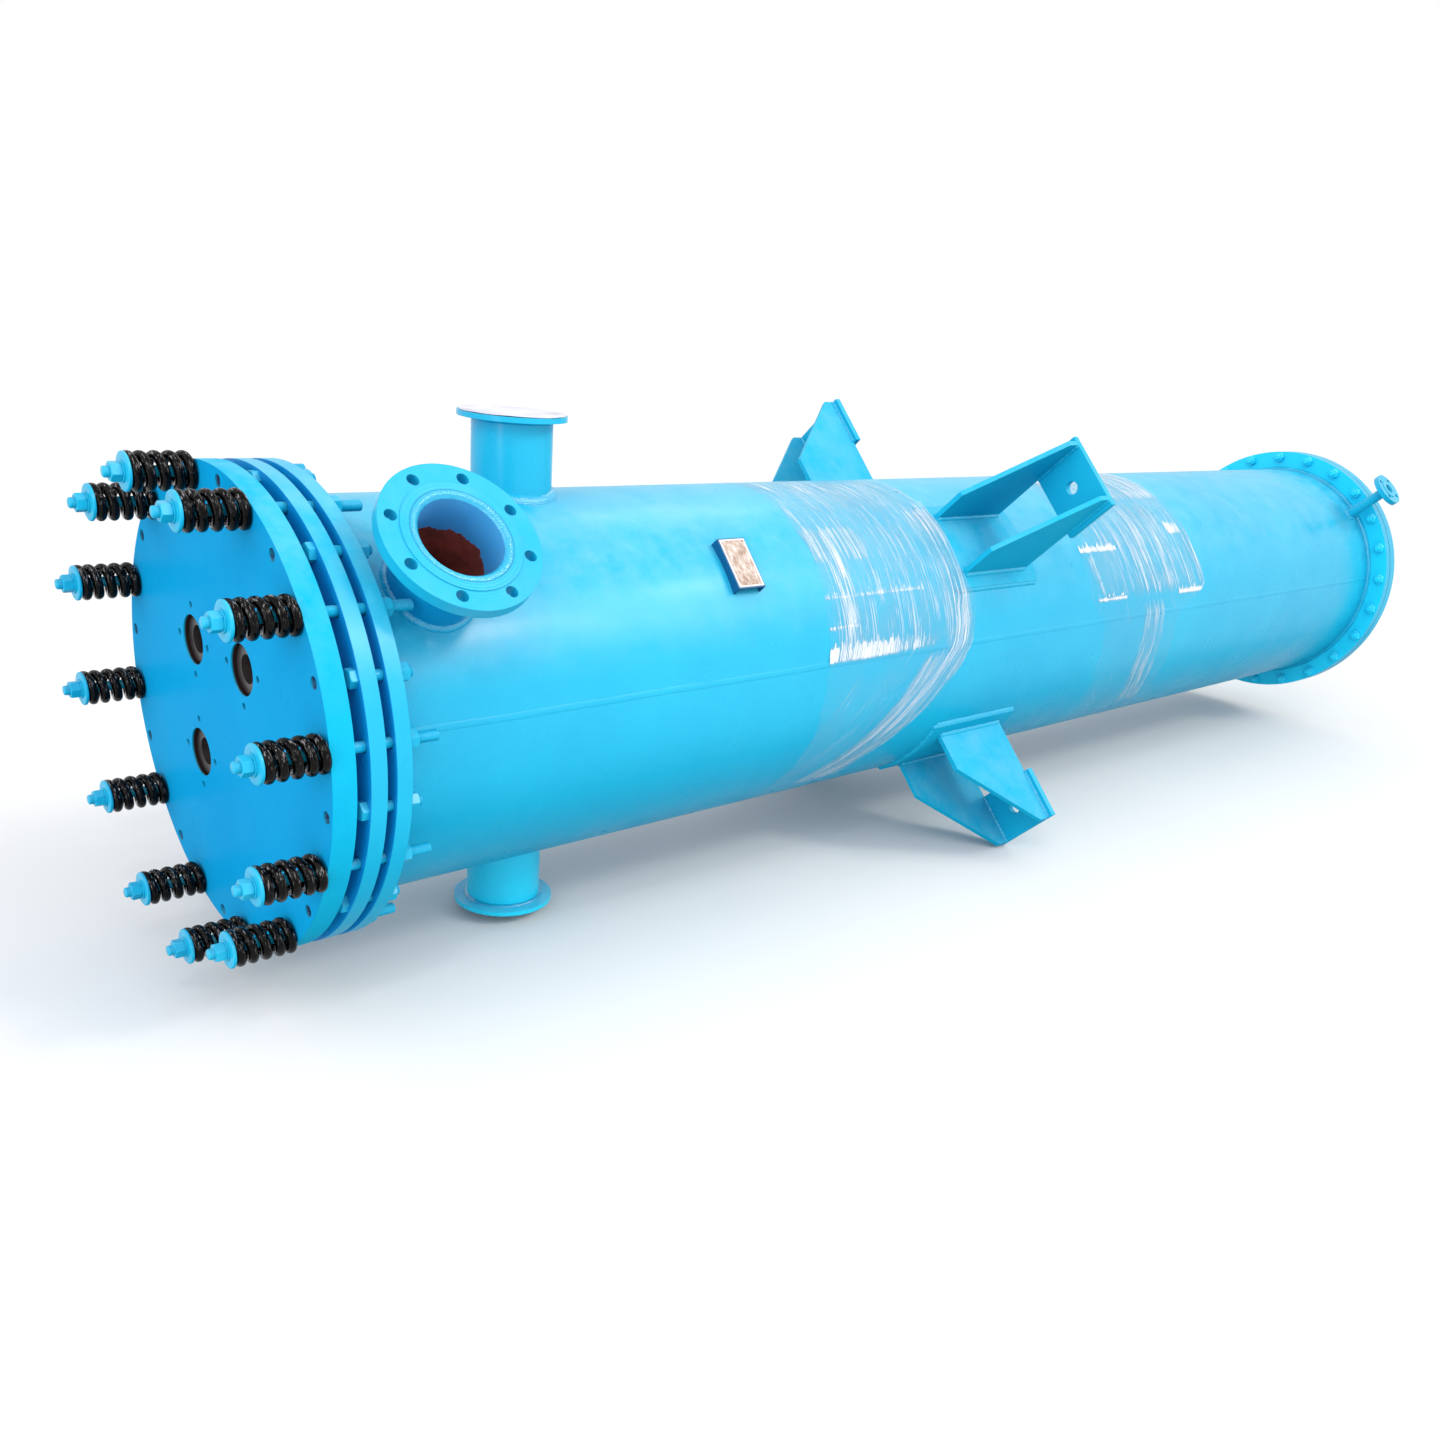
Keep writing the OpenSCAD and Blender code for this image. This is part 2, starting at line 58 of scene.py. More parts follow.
# %% Points in a fitter's directions
MM = 0.001
SHELL_LOW, SHELL_HIGH = (np.array(corner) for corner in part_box("shell"))
SHELL_R = float(SHELL_HIGH[2] - SHELL_LOW[2]) / 2 / MM
ORIGIN = np.array([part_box("end_plate")[0].x, 0.0, float(SHELL_HIGH[2] + SHELL_LOW[2]) / 2])


def placed(angle, along, across, out):
    """Points from a spot's own directions: along the vessel, across it and out from its axis, in
    millimetres, with the whole cross-section turned to the angle above the level near side."""
    turn = np.radians(angle)
    y = across * np.sin(turn) - out * np.cos(turn)
    z = across * np.cos(turn) + out * np.sin(turn)
    return np.stack(np.broadcast_arrays(along, y, z), -1) * MM + ORIGIN


def on_shell(along, radius, angle):
    """Points on a drum of the given radius round the vessel: y = -r cos a, z = r sin a."""
    return placed(angle, along, np.zeros_like(np.asarray(angle, float)), radius)


print("shell radius in mm:", round(SHELL_R, 2), "axis height in m:", round(ORIGIN[2], 4))

# %% [markdown]
# ## From a grid of points to a mesh
# Nearly every piece below is a net: a table of points with rows and columns, where neighbours are joined by
# four-sided faces. A net can be wrapped, so that its last row meets its first, which makes tubes and rings.
# Blender could spin or sweep these, but a formula over whole arrays is quick, exact and easy to change.

# %% A net becomes a piece
SAME_POINT = 2e-6


def net_faces(rows, cols, wrap_rows, wrap_cols):
    """Corner numbers of every face of a net: (r, c), (r, c+1), (r+1, c+1), (r+1, c)."""
    r = np.arange(rows if wrap_rows else rows - 1)[:, None]
    c = np.arange(cols if wrap_cols else cols - 1)[None, :]
    next_r, next_c = (r + 1) % rows, (c + 1) % cols
    corners = [r * cols + c, r * cols + next_c, next_r * cols + next_c, next_r * cols + c]
    return np.stack(np.broadcast_arrays(*corners), -1).reshape(-1, 4)


def make_piece(name, nets, finish, stands_for=(), crease=38.0, closed=True):
    """Joins nets into one mesh. Each net is (points, wrap rows, wrap columns); leading axes are copies.
    A closed piece has its doubled points merged and its faces turned outwards; a sheet stays as it is."""
    verts, faces, start = [], [], 0
    for points, wrap_rows, wrap_cols in nets:
        rows, cols = points.shape[-3:-1]
        copies = points.reshape(-1, rows * cols, 3)
        shift = np.arange(len(copies))[:, None, None] * rows * cols + start
        faces.append((net_faces(rows, cols, wrap_rows, wrap_cols)[None] + shift).reshape(-1, 4))
        verts.append(copies.reshape(-1, 3))
        start += copies.size // 3
    mesh = bpy.data.meshes.new(name)
    mesh.from_pydata(np.concatenate(verts), [], np.concatenate(faces))
    if closed:
        work = bmesh.new()
        work.from_mesh(mesh)
        bmesh.ops.remove_doubles(work, verts=work.verts, dist=SAME_POINT)
        bmesh.ops.recalc_face_normals(work, faces=work.faces)
        work.to_mesh(mesh)
        work.free()
    mesh.shade_smooth()
    mesh.set_sharp_from_angle(angle=np.radians(crease))
    mesh.materials.append(finish)
    piece = bpy.data.objects.new(name, mesh)
    bpy.context.scene.collection.objects.link(piece)
    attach(piece, "root")
    if stands_for:
        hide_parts(*stands_for)
    print(f"{name}: {len(mesh.vertices)} points, {len(mesh.polygons)} faces")
    return piece


print("faces of a net of 3 by 4 points:", len(net_faces(3, 4, False, False)), "open and",
      len(net_faces(3, 4, True, True)), "wrapped both ways")

# %% [markdown]
# ## A small kit for finishes
# A finish is a graph of nodes. A few short helpers keep the graphs readable: they add a node and wire it,
# add a noise or a ramp of colours, do one sum, stretch a span of values, or mix two colours. Every pattern
# but the film's reads Object coordinates. All objects sit at the origin, so a cloud of colour runs on from
# one piece to the next, as it does under one paint gun.

# %% Helpers that add nodes
def node(tree, kind, wires=None, **settings):
    """Adds a node. wires maps an input's name or number to a socket to link or a value to set."""
    made = tree.nodes.new("ShaderNode" + kind)
    for key, value in settings.items():
        setattr(made, key, value)
    for key, value in (wires or {}).items():
        if isinstance(value, bpy.types.NodeSocket):
            tree.links.new(value, made.inputs[key])
        else:
            made.inputs[key].default_value = value
    return made


def noise(tree, where, scale, detail=2.0, roughness=0.5):
    """Cloudy noise from 0 to 1, with features about 1/scale metres wide."""
    wires = {"Vector": where, "Scale": scale, "Detail": detail, "Roughness": roughness}
    return node(tree, "TexNoise", wires).outputs["Fac"]


def ramp(tree, factor, *stops):
    """Colours, or greys given as one number, at places from 0 to 1."""
    made = node(tree, "ValToRGB", {"Fac": factor})
    keys = made.color_ramp.elements
    while len(keys) < len(stops):
        keys.new(0.5)
    for key, (place, value) in zip(keys, stops):
        key.position = place
        key.color = (*value, 1.0) if hasattr(value, "__len__") else (value, value, value, 1.0)
    return made.outputs["Color"]


def maths(tree, operation, *values):
    """One sum on numbers or sockets, such as MULTIPLY or MAXIMUM."""
    wires = dict(enumerate(values))
    return node(tree, "Math", wires, operation=operation).outputs[0]


def spread(tree, value, low, high, to_low=0.0, to_high=1.0):
    """Stretches the span from low to high over another span, and holds the ends."""
    wires = {"Value": value, "From Min": low, "From Max": high, "To Min": to_low, "To Max": to_high}
    return node(tree, "MapRange", wires).outputs["Result"]


def blend(tree, factor, first, second):
    """Mixes two colours by a factor from 0 to 1."""
    made = node(tree, "Mix", data_type="RGBA")
    for key, value in ((0, factor), (6, first), (7, second)):
        if isinstance(value, bpy.types.NodeSocket):
            tree.links.new(value, made.inputs[key])
        else:
            made.inputs[key].default_value = (*value, 1.0) if hasattr(value, "__len__") else value
    return made.outputs[2]


print("node helpers:", [made.__name__ for made in (node, noise, ramp, maths, spread, blend)])

# %% [markdown]
# Three more helpers belong to the shader itself. One makes an empty material, one sets its sockets, and one
# gives it a skin. Thick paint never ends in a sharp corner, so the skin's bump starts from a normal that
# rolls over edges. Only the shading is rounded that way, and the CAD shape stays as it is.

# %% Helpers for the shader
def new_finish(name):
    """A material with its tree, its shader and its Object coordinates."""
    finish = bpy.data.materials.new(name)
    finish.use_nodes = True
    tree = finish.node_tree
    return finish, tree, tree.nodes["Principled BSDF"], node(tree, "TexCoord").outputs["Object"]


def wire(tree, shader, **sockets):
    """Links or sets the shader's own sockets; an underscore in a name stands for a space."""
    for key, value in sockets.items():
        key = key.replace("_", " ")
        if isinstance(value, bpy.types.NodeSocket):
            tree.links.new(value, shader.inputs[key])
        else:
            shader.inputs[key].default_value = value


def rounded_bump(tree, height, strength, distance, edge_mm=1.2):
    """A bump on a normal that rolls softly over sharp edges, as thick paint does."""
    edge = node(tree, "Bevel", {"Radius": edge_mm * MM}, samples=4).outputs["Normal"]
    wires = {"Height": height, "Strength": strength, "Distance": distance, "Normal": edge}
    return node(tree, "Bump", wires).outputs["Normal"]


print("shader helpers:", [made.__name__ for made in (new_finish, wire, rounded_bump)])

# %% [markdown]
# ## Sky-blue enamel
# The whole vessel was sprayed in one thick glossy coat. Under a lamp such a coat shows three scales: slow
# clouds where the gun overlapped, a fine pebbled skin that painters call orange peel, and small chips and
# dust where the vessel was handled. Each scale is one noise, and the clear gloss on top is the shader's
# coat. Faces that look down are a deeper blue, which is painted shade, and their mirror is duller.

# %% Colour and skin of the enamel
SHELL_BLUES = ((0.005, 0.355, 0.590), (0.009, 0.410, 0.640))
DUST, CHIP = (0.40, 0.62, 0.70), (0.22, 0.62, 0.78)
UNDERSIDE_SHADE, UNDERSIDE_GLEAM = 0.62, 0.12


def face_height(tree):
    """How far a face looks up: 1 at the sky, 0 at the horizon, -1 at the floor."""
    return node(tree, "SeparateXYZ", {0: node(tree, "NewGeometry").outputs["Normal"]}).outputs["Z"]


def enamel_colour(tree, place, dust_share=0.30, blues=SHELL_BLUES):
    """Clouds of two blues with a fine grain, a few pale chips, dust on what faces up, and a deeper blue on
    what faces down, which is painted shade."""
    grain = noise(tree, place, 110.0, 2.0)
    mottle = maths(tree, "MULTIPLY_ADD", grain, 0.22, noise(tree, place, 2.4, 4.0, 0.6))
    clouds = ramp(tree, mottle, (0.42, blues[0]), (0.80, blues[1]))
    chips = spread(tree, noise(tree, place, 150.0, 3.0, 0.7), 0.79, 0.82, 0.0, 0.35)
    facing = face_height(tree)
    # painted shade: faces that look down are blended towards a deeper copy of the first blue
    underside_shade_blue = tuple(UNDERSIDE_SHADE * part for part in blues[0])
    clouds = blend(tree, spread(tree, facing, -0.95, -0.15, 0.75, 0.0), clouds, underside_shade_blue)
    upward = spread(tree, facing, 0.25, 1.0)
    settled = spread(tree, noise(tree, place, 14.0, 5.0, 0.65), 0.35, 0.75, 0.0, dust_share)
    dust = maths(tree, "MULTIPLY", upward, settled)
    colour = blend(tree, chips, clouds, CHIP)
    return blend(tree, dust, colour, DUST), dust


def enamel_skin(tree, place, broad_share=4.0, extra=None):
    """Height of the paint's skin: broad unevenness of the plate, orange peel, and anything added."""
    broad = maths(tree, "MULTIPLY", noise(tree, place, 7.0, 2.0), broad_share)
    peel = noise(tree, place, 260.0, 2.0, 0.6)
    height = maths(tree, "ADD", broad, peel)
    return height if extra is None else maths(tree, "ADD", height, extra)


def patchy(tree, place, low, high):
    """Roughness that drifts between two values, in patches about a tenth of a metre wide."""
    return spread(tree, noise(tree, place, 11.0, 4.0, 0.6), 0.3, 0.7, low, high)


def gleam(tree, shine):
    """Strength of the coat's mirror: full on what faces the sky, weak underneath."""
    return spread(tree, face_height(tree), -0.35, 0.15, UNDERSIDE_GLEAM * shine, shine)


print("two blues of the shell:", SHELL_BLUES)

# %% [markdown]
# One function sprays the plain coat, and some pieces need their own. Paint on a weld is glossy and rough
# with spatter, a little deeper on the nozzle welds as painted shade, bolts have less dust, lugs are flatter,
# and the far joint and the lower nozzle get a paler copy as painted light. Small numbers on one function are
# easier to compare than six graphs.

# %% The plain coats
# painted shade: a slightly deeper blue for the nozzle welds
BEAD_SHADE_BLUES = ((0.004, 0.320, 0.580), (0.008, 0.390, 0.630))
# painted light: a paler copy of the blues, for the far joint, its bolts and the lower nozzle
PAINTED_LIT_BLUES = ((0.009, 0.550, 0.820), (0.014, 0.610, 0.870))


def enamel(name, gloss=0.30, dust_share=0.30, edge_mm=1.2, shine=0.30, grit=0.0, blues=SHELL_BLUES):
    """The plain sprayed coat. shine is the strength of its mirror, grit the height of fine spatter."""
    finish, tree, shader, place = new_finish(name)
    colour, dust = enamel_colour(tree, place, dust_share, blues)
    matt = patchy(tree, place, gloss - 0.06, gloss + 0.10)
    spatter = maths(tree, "MULTIPLY", noise(tree, place, 210.0, 3.0, 0.6), grit)
    skin = rounded_bump(tree, enamel_skin(tree, place, extra=spatter), 0.30, 0.0006, edge_mm)
    wire(tree, shader, Base_Color=colour, Roughness=maths(tree, "ADD", matt, dust), Normal=skin)
    mirror = gleam(tree, shine)
    clear = maths(tree, "MULTIPLY", mirror, 0.5)
    wire(tree, shader, Specular_IOR_Level=mirror, Coat_Weight=clear, Coat_Roughness=0.18)
    return finish


sky_blue = enamel("sky_blue_enamel")
bead_blue = enamel("sky_blue_enamel_on_weld", 0.10, 0.0, 0.3, shine=0.70, grit=13.0, blues=BEAD_SHADE_BLUES)
drum_bead_blue = enamel("sky_blue_enamel_on_drum_weld", 0.16, 0.0, 0.3, shine=0.40, grit=6.0)
bolt_blue = enamel("sky_blue_enamel_on_bolts", gloss=0.32, dust_share=0.15, edge_mm=0.5)
lug_blue = enamel("sky_blue_enamel_on_lugs", gloss=0.42, shine=0.10)
# painted light: the paler coat for the far joint and the lower nozzle
painted_lit_blue = enamel("sky_blue_enamel_painted_lit", blues=PAINTED_LIT_BLUES)
COATS = (sky_blue, bead_blue, drum_bead_blue, bolt_blue, lug_blue, painted_lit_blue)
print("coats:", [coat.name for coat in COATS])

# %% [markdown]
# ## Paint that stops at a hole
# The bolt holes only caught some of the spray, so their walls are mostly a dark slate that is also painted
# shade; the small tapped holes near the axis are a deep blue of painted shade. A hole's wall lies behind the
# face and inside the rim, so two distances find it: the station along the vessel, and the distance from the
# vessel's axis. The three ports hold graphite sleeves, and a third distance, from the nearest port's axis,
# turns their walls black.

# %% Distances that find a hole
PORT_REACH, PORT_R, PORT_ANGLES = 153.0, 46.0, (45.0, 135.0, -135.0)
OUT_OF_REACH = 9.0


def axis_distance(tree, place):
    """Distance from the vessel's axis in millimetres, and the place along it from the end plate's face."""
    parts = node(tree, "SeparateXYZ", {0: place})
    lifted = maths(tree, "SUBTRACT", parts.outputs["Z"], float(ORIGIN[2]))
    flat = node(tree, "CombineXYZ", {0: parts.outputs["Y"], 1: lifted}).outputs[0]
    radius = node(tree, "VectorMath", {0: flat}, operation="LENGTH").outputs["Value"]
    station = maths(tree, "SUBTRACT", parts.outputs["X"], float(ORIGIN[0]))
    return maths(tree, "MULTIPLY", radius, 1000.0), maths(tree, "MULTIPLY", station, 1000.0)


def port_distance(tree, place):
    """Millimetres from the nearest port's axis: the least of three distances across the vessel."""
    flat = node(tree, "VectorMath", {0: place, 1: (0.0, 1.0, 1.0)}, operation="MULTIPLY").outputs[0]
    nearest = OUT_OF_REACH
    for _, y, z in on_shell(0.0, PORT_REACH, np.array(PORT_ANGLES)):
        away = node(tree, "VectorMath", {0: flat, 1: (0.0, float(y), float(z))}, operation="DISTANCE")
        nearest = maths(tree, "MINIMUM", away.outputs["Value"], nearest)
    return maths(tree, "MULTIPLY", nearest, 1000.0)


def stations(name):
    """First and last station of a CAD node, in millimetres from the end plate's face."""
    return [float((corner.x - ORIGIN[0]) / MM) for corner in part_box(name)]


FLANGE_R = float(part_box("end_plate")[1].y) / MM
print("rim radius in mm:", round(FLANGE_R, 2), "end plate's stations:", stations("end_plate"))

# %% [markdown]
# The discs differ in one more way. The end plate's face is a deeper blue than the shell, as painted shade,
# the faces in the narrow gaps behind it are deeper still, as painted shade, and the far flange's face is
# paler, as painted light. So a disc's front face may have blues of its own, while its rim and back keep the
# shell's.

# %% Enamel with raw holes
# painted shade: a deeper copy of the blues for the end plate's face and the outside of the sloping nozzle
PLATE_SHADE_BLUES = ((0.003, 0.265, 0.560), (0.004, 0.300, 0.605))
# painted shade: a deeper blue for the faces in the narrow gaps behind the end plate and the graphite rims
# there
GAP_SHADE_BLUES = ((0.001, 0.230, 0.580), (0.002, 0.260, 0.620))
# painted shade: the holes' dark slate walls and the deep blue of the tapped holes stand in for the shade
# inside them
HOLE_WALL_AND_SHADE, RECESS_SHADE_BLUE, PORT_BLACK = (0.055, 0.066, 0.170), (0.004, 0.165, 0.360), (0.020, 0.012, 0.012)
PORT_ZONE = 215.0


def drilled_enamel(name, front, back, face_blues=SHELL_BLUES, shine=0.25):
    """Enamel on a disc between two stations: its front face may have blues of its own, what lies well inside
    it is dark slate, partly painted shade, the small tapped holes close to the axis are a deep blue of
    painted shade, and the ports' walls are black."""
    finish, tree, shader, place = new_finish(name)
    colour, dust = enamel_colour(tree, place)
    face_colour, _ = enamel_colour(tree, place, blues=face_blues)
    radius, station = axis_distance(tree, place)
    colour = blend(tree, spread(tree, station, front + 0.2, front + 0.8), face_colour, colour)
    behind = spread(tree, station, front + 0.6, front + 4.0)
    before = spread(tree, station, back - 4.0, back - 0.6, 1.0, 0.0)
    inside = spread(tree, radius, FLANGE_R - 6.0, FLANGE_R - 4.0, 1.0, 0.0)
    hole = maths(tree, "MULTIPLY", maths(tree, "MULTIPLY", behind, before), inside)
    ragged = spread(tree, noise(tree, place, 90.0, 4.0, 0.7), 0.36, 0.56)
    central = spread(tree, radius, PORT_ZONE - 1.0, PORT_ZONE, 1.0, 0.0)
    # painted shade: hole walls are darkened, deep blue near the axis
    hole_wall_shade_colour = blend(tree, central, HOLE_WALL_AND_SHADE, RECESS_SHADE_BLUE)
    port = spread(tree, port_distance(tree, place), PORT_R + 1.0, PORT_R + 2.0, 1.0, 0.0)
    hole_wall_shade_colour = blend(tree, port, hole_wall_shade_colour, PORT_BLACK)
    bare = maths(tree, "MULTIPLY", hole, maths(tree, "MAXIMUM", ragged, central))
    colour = blend(tree, bare, colour, hole_wall_shade_colour)
    matt = maths(tree, "ADD", patchy(tree, place, 0.26, 0.40), maths(tree, "MULTIPLY", hole, 0.3))
    skin = rounded_bump(tree, enamel_skin(tree, place, 1.0), 0.25, 0.0006)
    wire(tree, shader, Base_Color=colour, Roughness=maths(tree, "ADD", matt, dust), Normal=skin)
    mirror = gleam(tree, shine)
    clear = maths(tree, "MULTIPLY", mirror, 0.4)
    wire(tree, shader, Specular_IOR_Level=mirror, Coat_Weight=clear, Coat_Roughness=0.2)
    return finish


def dress(name, finish):
    """Gives a CAD node its finish without touching its shape."""
    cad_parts[name].data.materials.clear()
    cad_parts[name].data.materials.append(finish)


DISCS = {
    "end_plate": dict(face_blues=PLATE_SHADE_BLUES, shine=0.006),
    "clamp_ring": dict(face_blues=GAP_SHADE_BLUES),
    "front_flange": dict(face_blues=GAP_SHADE_BLUES),
    "far_flange": dict(face_blues=PAINTED_LIT_BLUES),
    "far_cover": dict(),
}
for name, tones in DISCS.items():
    dress(name, drilled_enamel("drilled_" + name, *stations(name), **tones))
print("drilled discs:", list(DISCS))

# %% [markdown]
# ## The plain painted steel
# Shell, upper nozzle and vent take the plain coat, the lower nozzle the paler painted-light one, the lugs the
# flat one, and the nameplate's bracket a deep blue as painted shade. One table says which node gets which
# coat.

# %% Painted pieces
# painted shade: the bracket's deep blue stands in for the shade on its sides
BRACKET_SHADE_BLUES = ((0.002, 0.080, 0.220), (0.003, 0.105, 0.260))
bracket_shade_blue = enamel("shaded_blue_enamel_on_bracket", blues=BRACKET_SHADE_BLUES)
PAINTED = (
    (sky_blue, ("shell", "top_pipe", "top_collar", "vent_pipe", "vent_flange")),
    (painted_lit_blue, ("bottom_pipe", "bottom_collar")),
    (lug_blue, ("lug_pads", "lug_gussets", "lug_bases")),
    (bracket_shade_blue, ("nameplate_bracket",)),
)
for coat, names in PAINTED:
    for name in names:
        dress(name, coat)
print("painted nodes:", sum(len(names) for _, names in PAINTED))

# %% [markdown]
# ## Graphite
# The header block, the tube sheet and the sleeves in the ports are graphite that was soaked in resin, which
# is brown-black with a fine grain. The block and the sheet stand between the flanges, and the spray reached
# their rims, so these are blue at the rim, in the gaps' deeper blue of painted shade, and graphite inside.
# The distance from the axis tells the two apart.

# %% Graphite pieces
GRAPHITE_DARK, GRAPHITE_PALE = (0.016, 0.012, 0.012), (0.048, 0.038, 0.036)


def graphite_colour(tree, place):
    """Impregnated graphite: brown-black with fine pale grains and slow smears from machining."""
    smear = noise(tree, place, 35.0, 4.0, 0.6)
    grain = noise(tree, place, 900.0, 2.0, 0.7)
    mixed = maths(tree, "MULTIPLY_ADD", grain, 0.35, maths(tree, "MULTIPLY", smear, 0.7))
    return ramp(tree, mixed, (0.35, GRAPHITE_DARK), (0.75, GRAPHITE_PALE))


def graphite(name, sprayed_from=None):
    """Graphite, with blue overspray beyond a distance from the axis where one is given; its blue is the gaps'
    deeper blue of painted shade.
    """
    finish, tree, shader, place = new_finish(name)
    colour = graphite_colour(tree, place)
    if sprayed_from:
        radius, _ = axis_distance(tree, place)
        ragged = maths(tree, "MULTIPLY_ADD", noise(tree, place, 60.0, 3.0), 4.0, radius)
        # painted shade: the overspray takes the gaps' deeper blues
        blue, _ = enamel_colour(tree, place, blues=GAP_SHADE_BLUES)
        colour = blend(tree, spread(tree, ragged, sprayed_from, sprayed_from + 2.0), colour, blue)
    matt = spread(tree, noise(tree, place, 120.0, 3.0), 0.3, 0.7, 0.30, 0.46)
    skin = rounded_bump(tree, noise(tree, place, 700.0, 3.0), 0.15, 0.0002, 0.6)
    wire(tree, shader, Base_Color=colour, Roughness=matt, Normal=skin, IOR=1.7)
    return finish


GRAPHITE = {
    "header_block": graphite("graphite_block", 364.0),
    "tube_sheet": graphite("graphite_sheet", 392.0),
    "port_sleeves": graphite("graphite_sleeve"),
}
for name, finish in GRAPHITE.items():
    dress(name, finish)
print("graphite nodes:", list(GRAPHITE))

# %% [markdown]
# ## The open nozzle
# The sloping nozzle is the one place where the picture shows the inside. Its pipe is a deeper blue outside,
# as painted shade, and paler in the bore as far as the gun reached, then red-brown primer takes over along a
# ragged line. Both borders are distances from the nozzle's axis or along it, so the coordinates are first
# moved and turned into its own directions.

# %% A nozzle's own directions
INLET_ANGLE, INLET_ALONG, INLET_FACE = 45.0, 270.0, 527.5
UPRIGHT_ALONG, TOP_FACE, BOTTOM_FACE = 600.0, 528.0, 516.0
VENT_ANGLE, VENT_ALONG, VENT_FACE = 44.0, 3960.0, 534.0
PIPE_R, PIPE_BORE_R, VENT_R = 79.5, 75.0, 17.0


def nozzle_place(tree, place, angle, along):
    """Object coordinates moved and turned into a nozzle's own directions, in millimetres."""
    turn = np.radians(90.0 - angle)
    centre = ORIGIN + np.array([along * MM, 0.0, 0.0])
    moved = node(tree, "VectorMath", {0: place, 1: tuple(centre)}, operation="SUBTRACT").outputs[0]
    wires = {"Vector": moved, "Angle": float(-turn), "Axis": (1.0, 0.0, 0.0), "Center": (0.0, 0.0, 0.0)}
    turned = node(tree, "VectorRotate", wires, rotation_type="AXIS_ANGLE").outputs[0]
    return node(tree, "VectorMath", {0: turned, "Scale": 1000.0}, operation="SCALE").outputs[0]


def inlet_distances(tree, place):
    """Distance from the sloping nozzle's axis, and along it from the vessel's axis, in millimetres."""
    own = node(tree, "SeparateXYZ", {0: nozzle_place(tree, place, INLET_ANGLE, INLET_ALONG)})
    flat = node(tree, "CombineXYZ", {0: own.outputs["X"], 1: own.outputs["Y"]}).outputs[0]
    radius = node(tree, "VectorMath", {0: flat}, operation="LENGTH").outputs["Value"]
    return radius, own.outputs["Z"]


print("sloping nozzle:", INLET_ALONG, "mm along,", INLET_ANGLE, "degrees up, face at", INLET_FACE, "mm")

# %% [markdown]
# Behind the mouth hangs a plate that keeps the flow off the tubes, in bare primer. The flange was turned on
# a lathe before it was painted, so its face keeps fine grooves, and a small step runs round the weld in the
# mouth, sunk as a bump with a dark ring of painted shadow on it. Rings like these are a sine and a narrow
# band of the distance from the nozzle's axis.

# %% Nozzle pipe, flange and impingement plate
PRIMER_RED, PRIMER_DARK = (0.300, 0.058, 0.042), (0.120, 0.032, 0.027)
BORE_BLUE, BORE_PALE = (0.035, 0.320, 0.680), (0.080, 0.390, 0.760)
PRIMER_DEPTH, PRIMER_RAGGED = 140.0, 110.0
GROOVES_FROM, GROOVES_TO, STEP_R = 84.0, 106.0, 89.5


def primer_colour(tree, place):
    """Red-brown primer with darker damp patches."""
    return ramp(tree, noise(tree, place, 16.0, 5.0, 0.65), (0.35, PRIMER_DARK), (0.62, PRIMER_RED))


def nozzle_pipe_paint():
    """Blue outside, deepened as painted shade, paler near the mouth of the bore, primer deeper inside it,
    with a ragged border.
    """
    finish, tree, shader, place = new_finish("nozzle_paint_over_primer")
    # painted shade: the outside takes the end plate's deeper blues
    colour, dust = enamel_colour(tree, place, blues=PLATE_SHADE_BLUES)
    radius, height = inlet_distances(tree, place)
    bore = spread(tree, radius, PIPE_BORE_R + 1.0, PIPE_BORE_R + 2.0, 1.0, 0.0)
    edge = maths(tree, "MULTIPLY_ADD", noise(tree, place, 17.0, 4.0, 0.6), -PRIMER_RAGGED, height)
    limit = INLET_FACE - PRIMER_DEPTH
    inner = maths(tree, "MULTIPLY", bore, spread(tree, edge, limit, limit + 4.0, 1.0, 0.0))
    sprayed = ramp(tree, noise(tree, place, 9.0, 3.0), (0.3, BORE_BLUE), (0.7, BORE_PALE))
    colour = blend(tree, bore, colour, sprayed)
    colour = blend(tree, inner, colour, primer_colour(tree, place))
    matt = maths(tree, "MULTIPLY_ADD", inner, 0.30, 0.28)
    skin = rounded_bump(tree, enamel_skin(tree, place), 0.30, 0.0006)
    wire(tree, shader, Base_Color=colour, Roughness=maths(tree, "ADD", matt, dust), Normal=skin)
    wire(tree, shader, Specular_IOR_Level=gleam(tree, 0.25), Coat_Weight=0.03, Coat_Roughness=0.18)
    return finish


def primer():
    """Primer alone, for what lies inside the shell."""
    finish, tree, shader, place = new_finish("red_brown_primer")
    matt = spread(tree, noise(tree, place, 40.0, 3.0), 0.3, 0.7, 0.45, 0.65)
    skin = rounded_bump(tree, noise(tree, place, 220.0, 3.0), 0.3, 0.0005, 0.8)
    wire(tree, shader, Base_Color=primer_colour(tree, place), Roughness=matt, Normal=skin)
    return finish


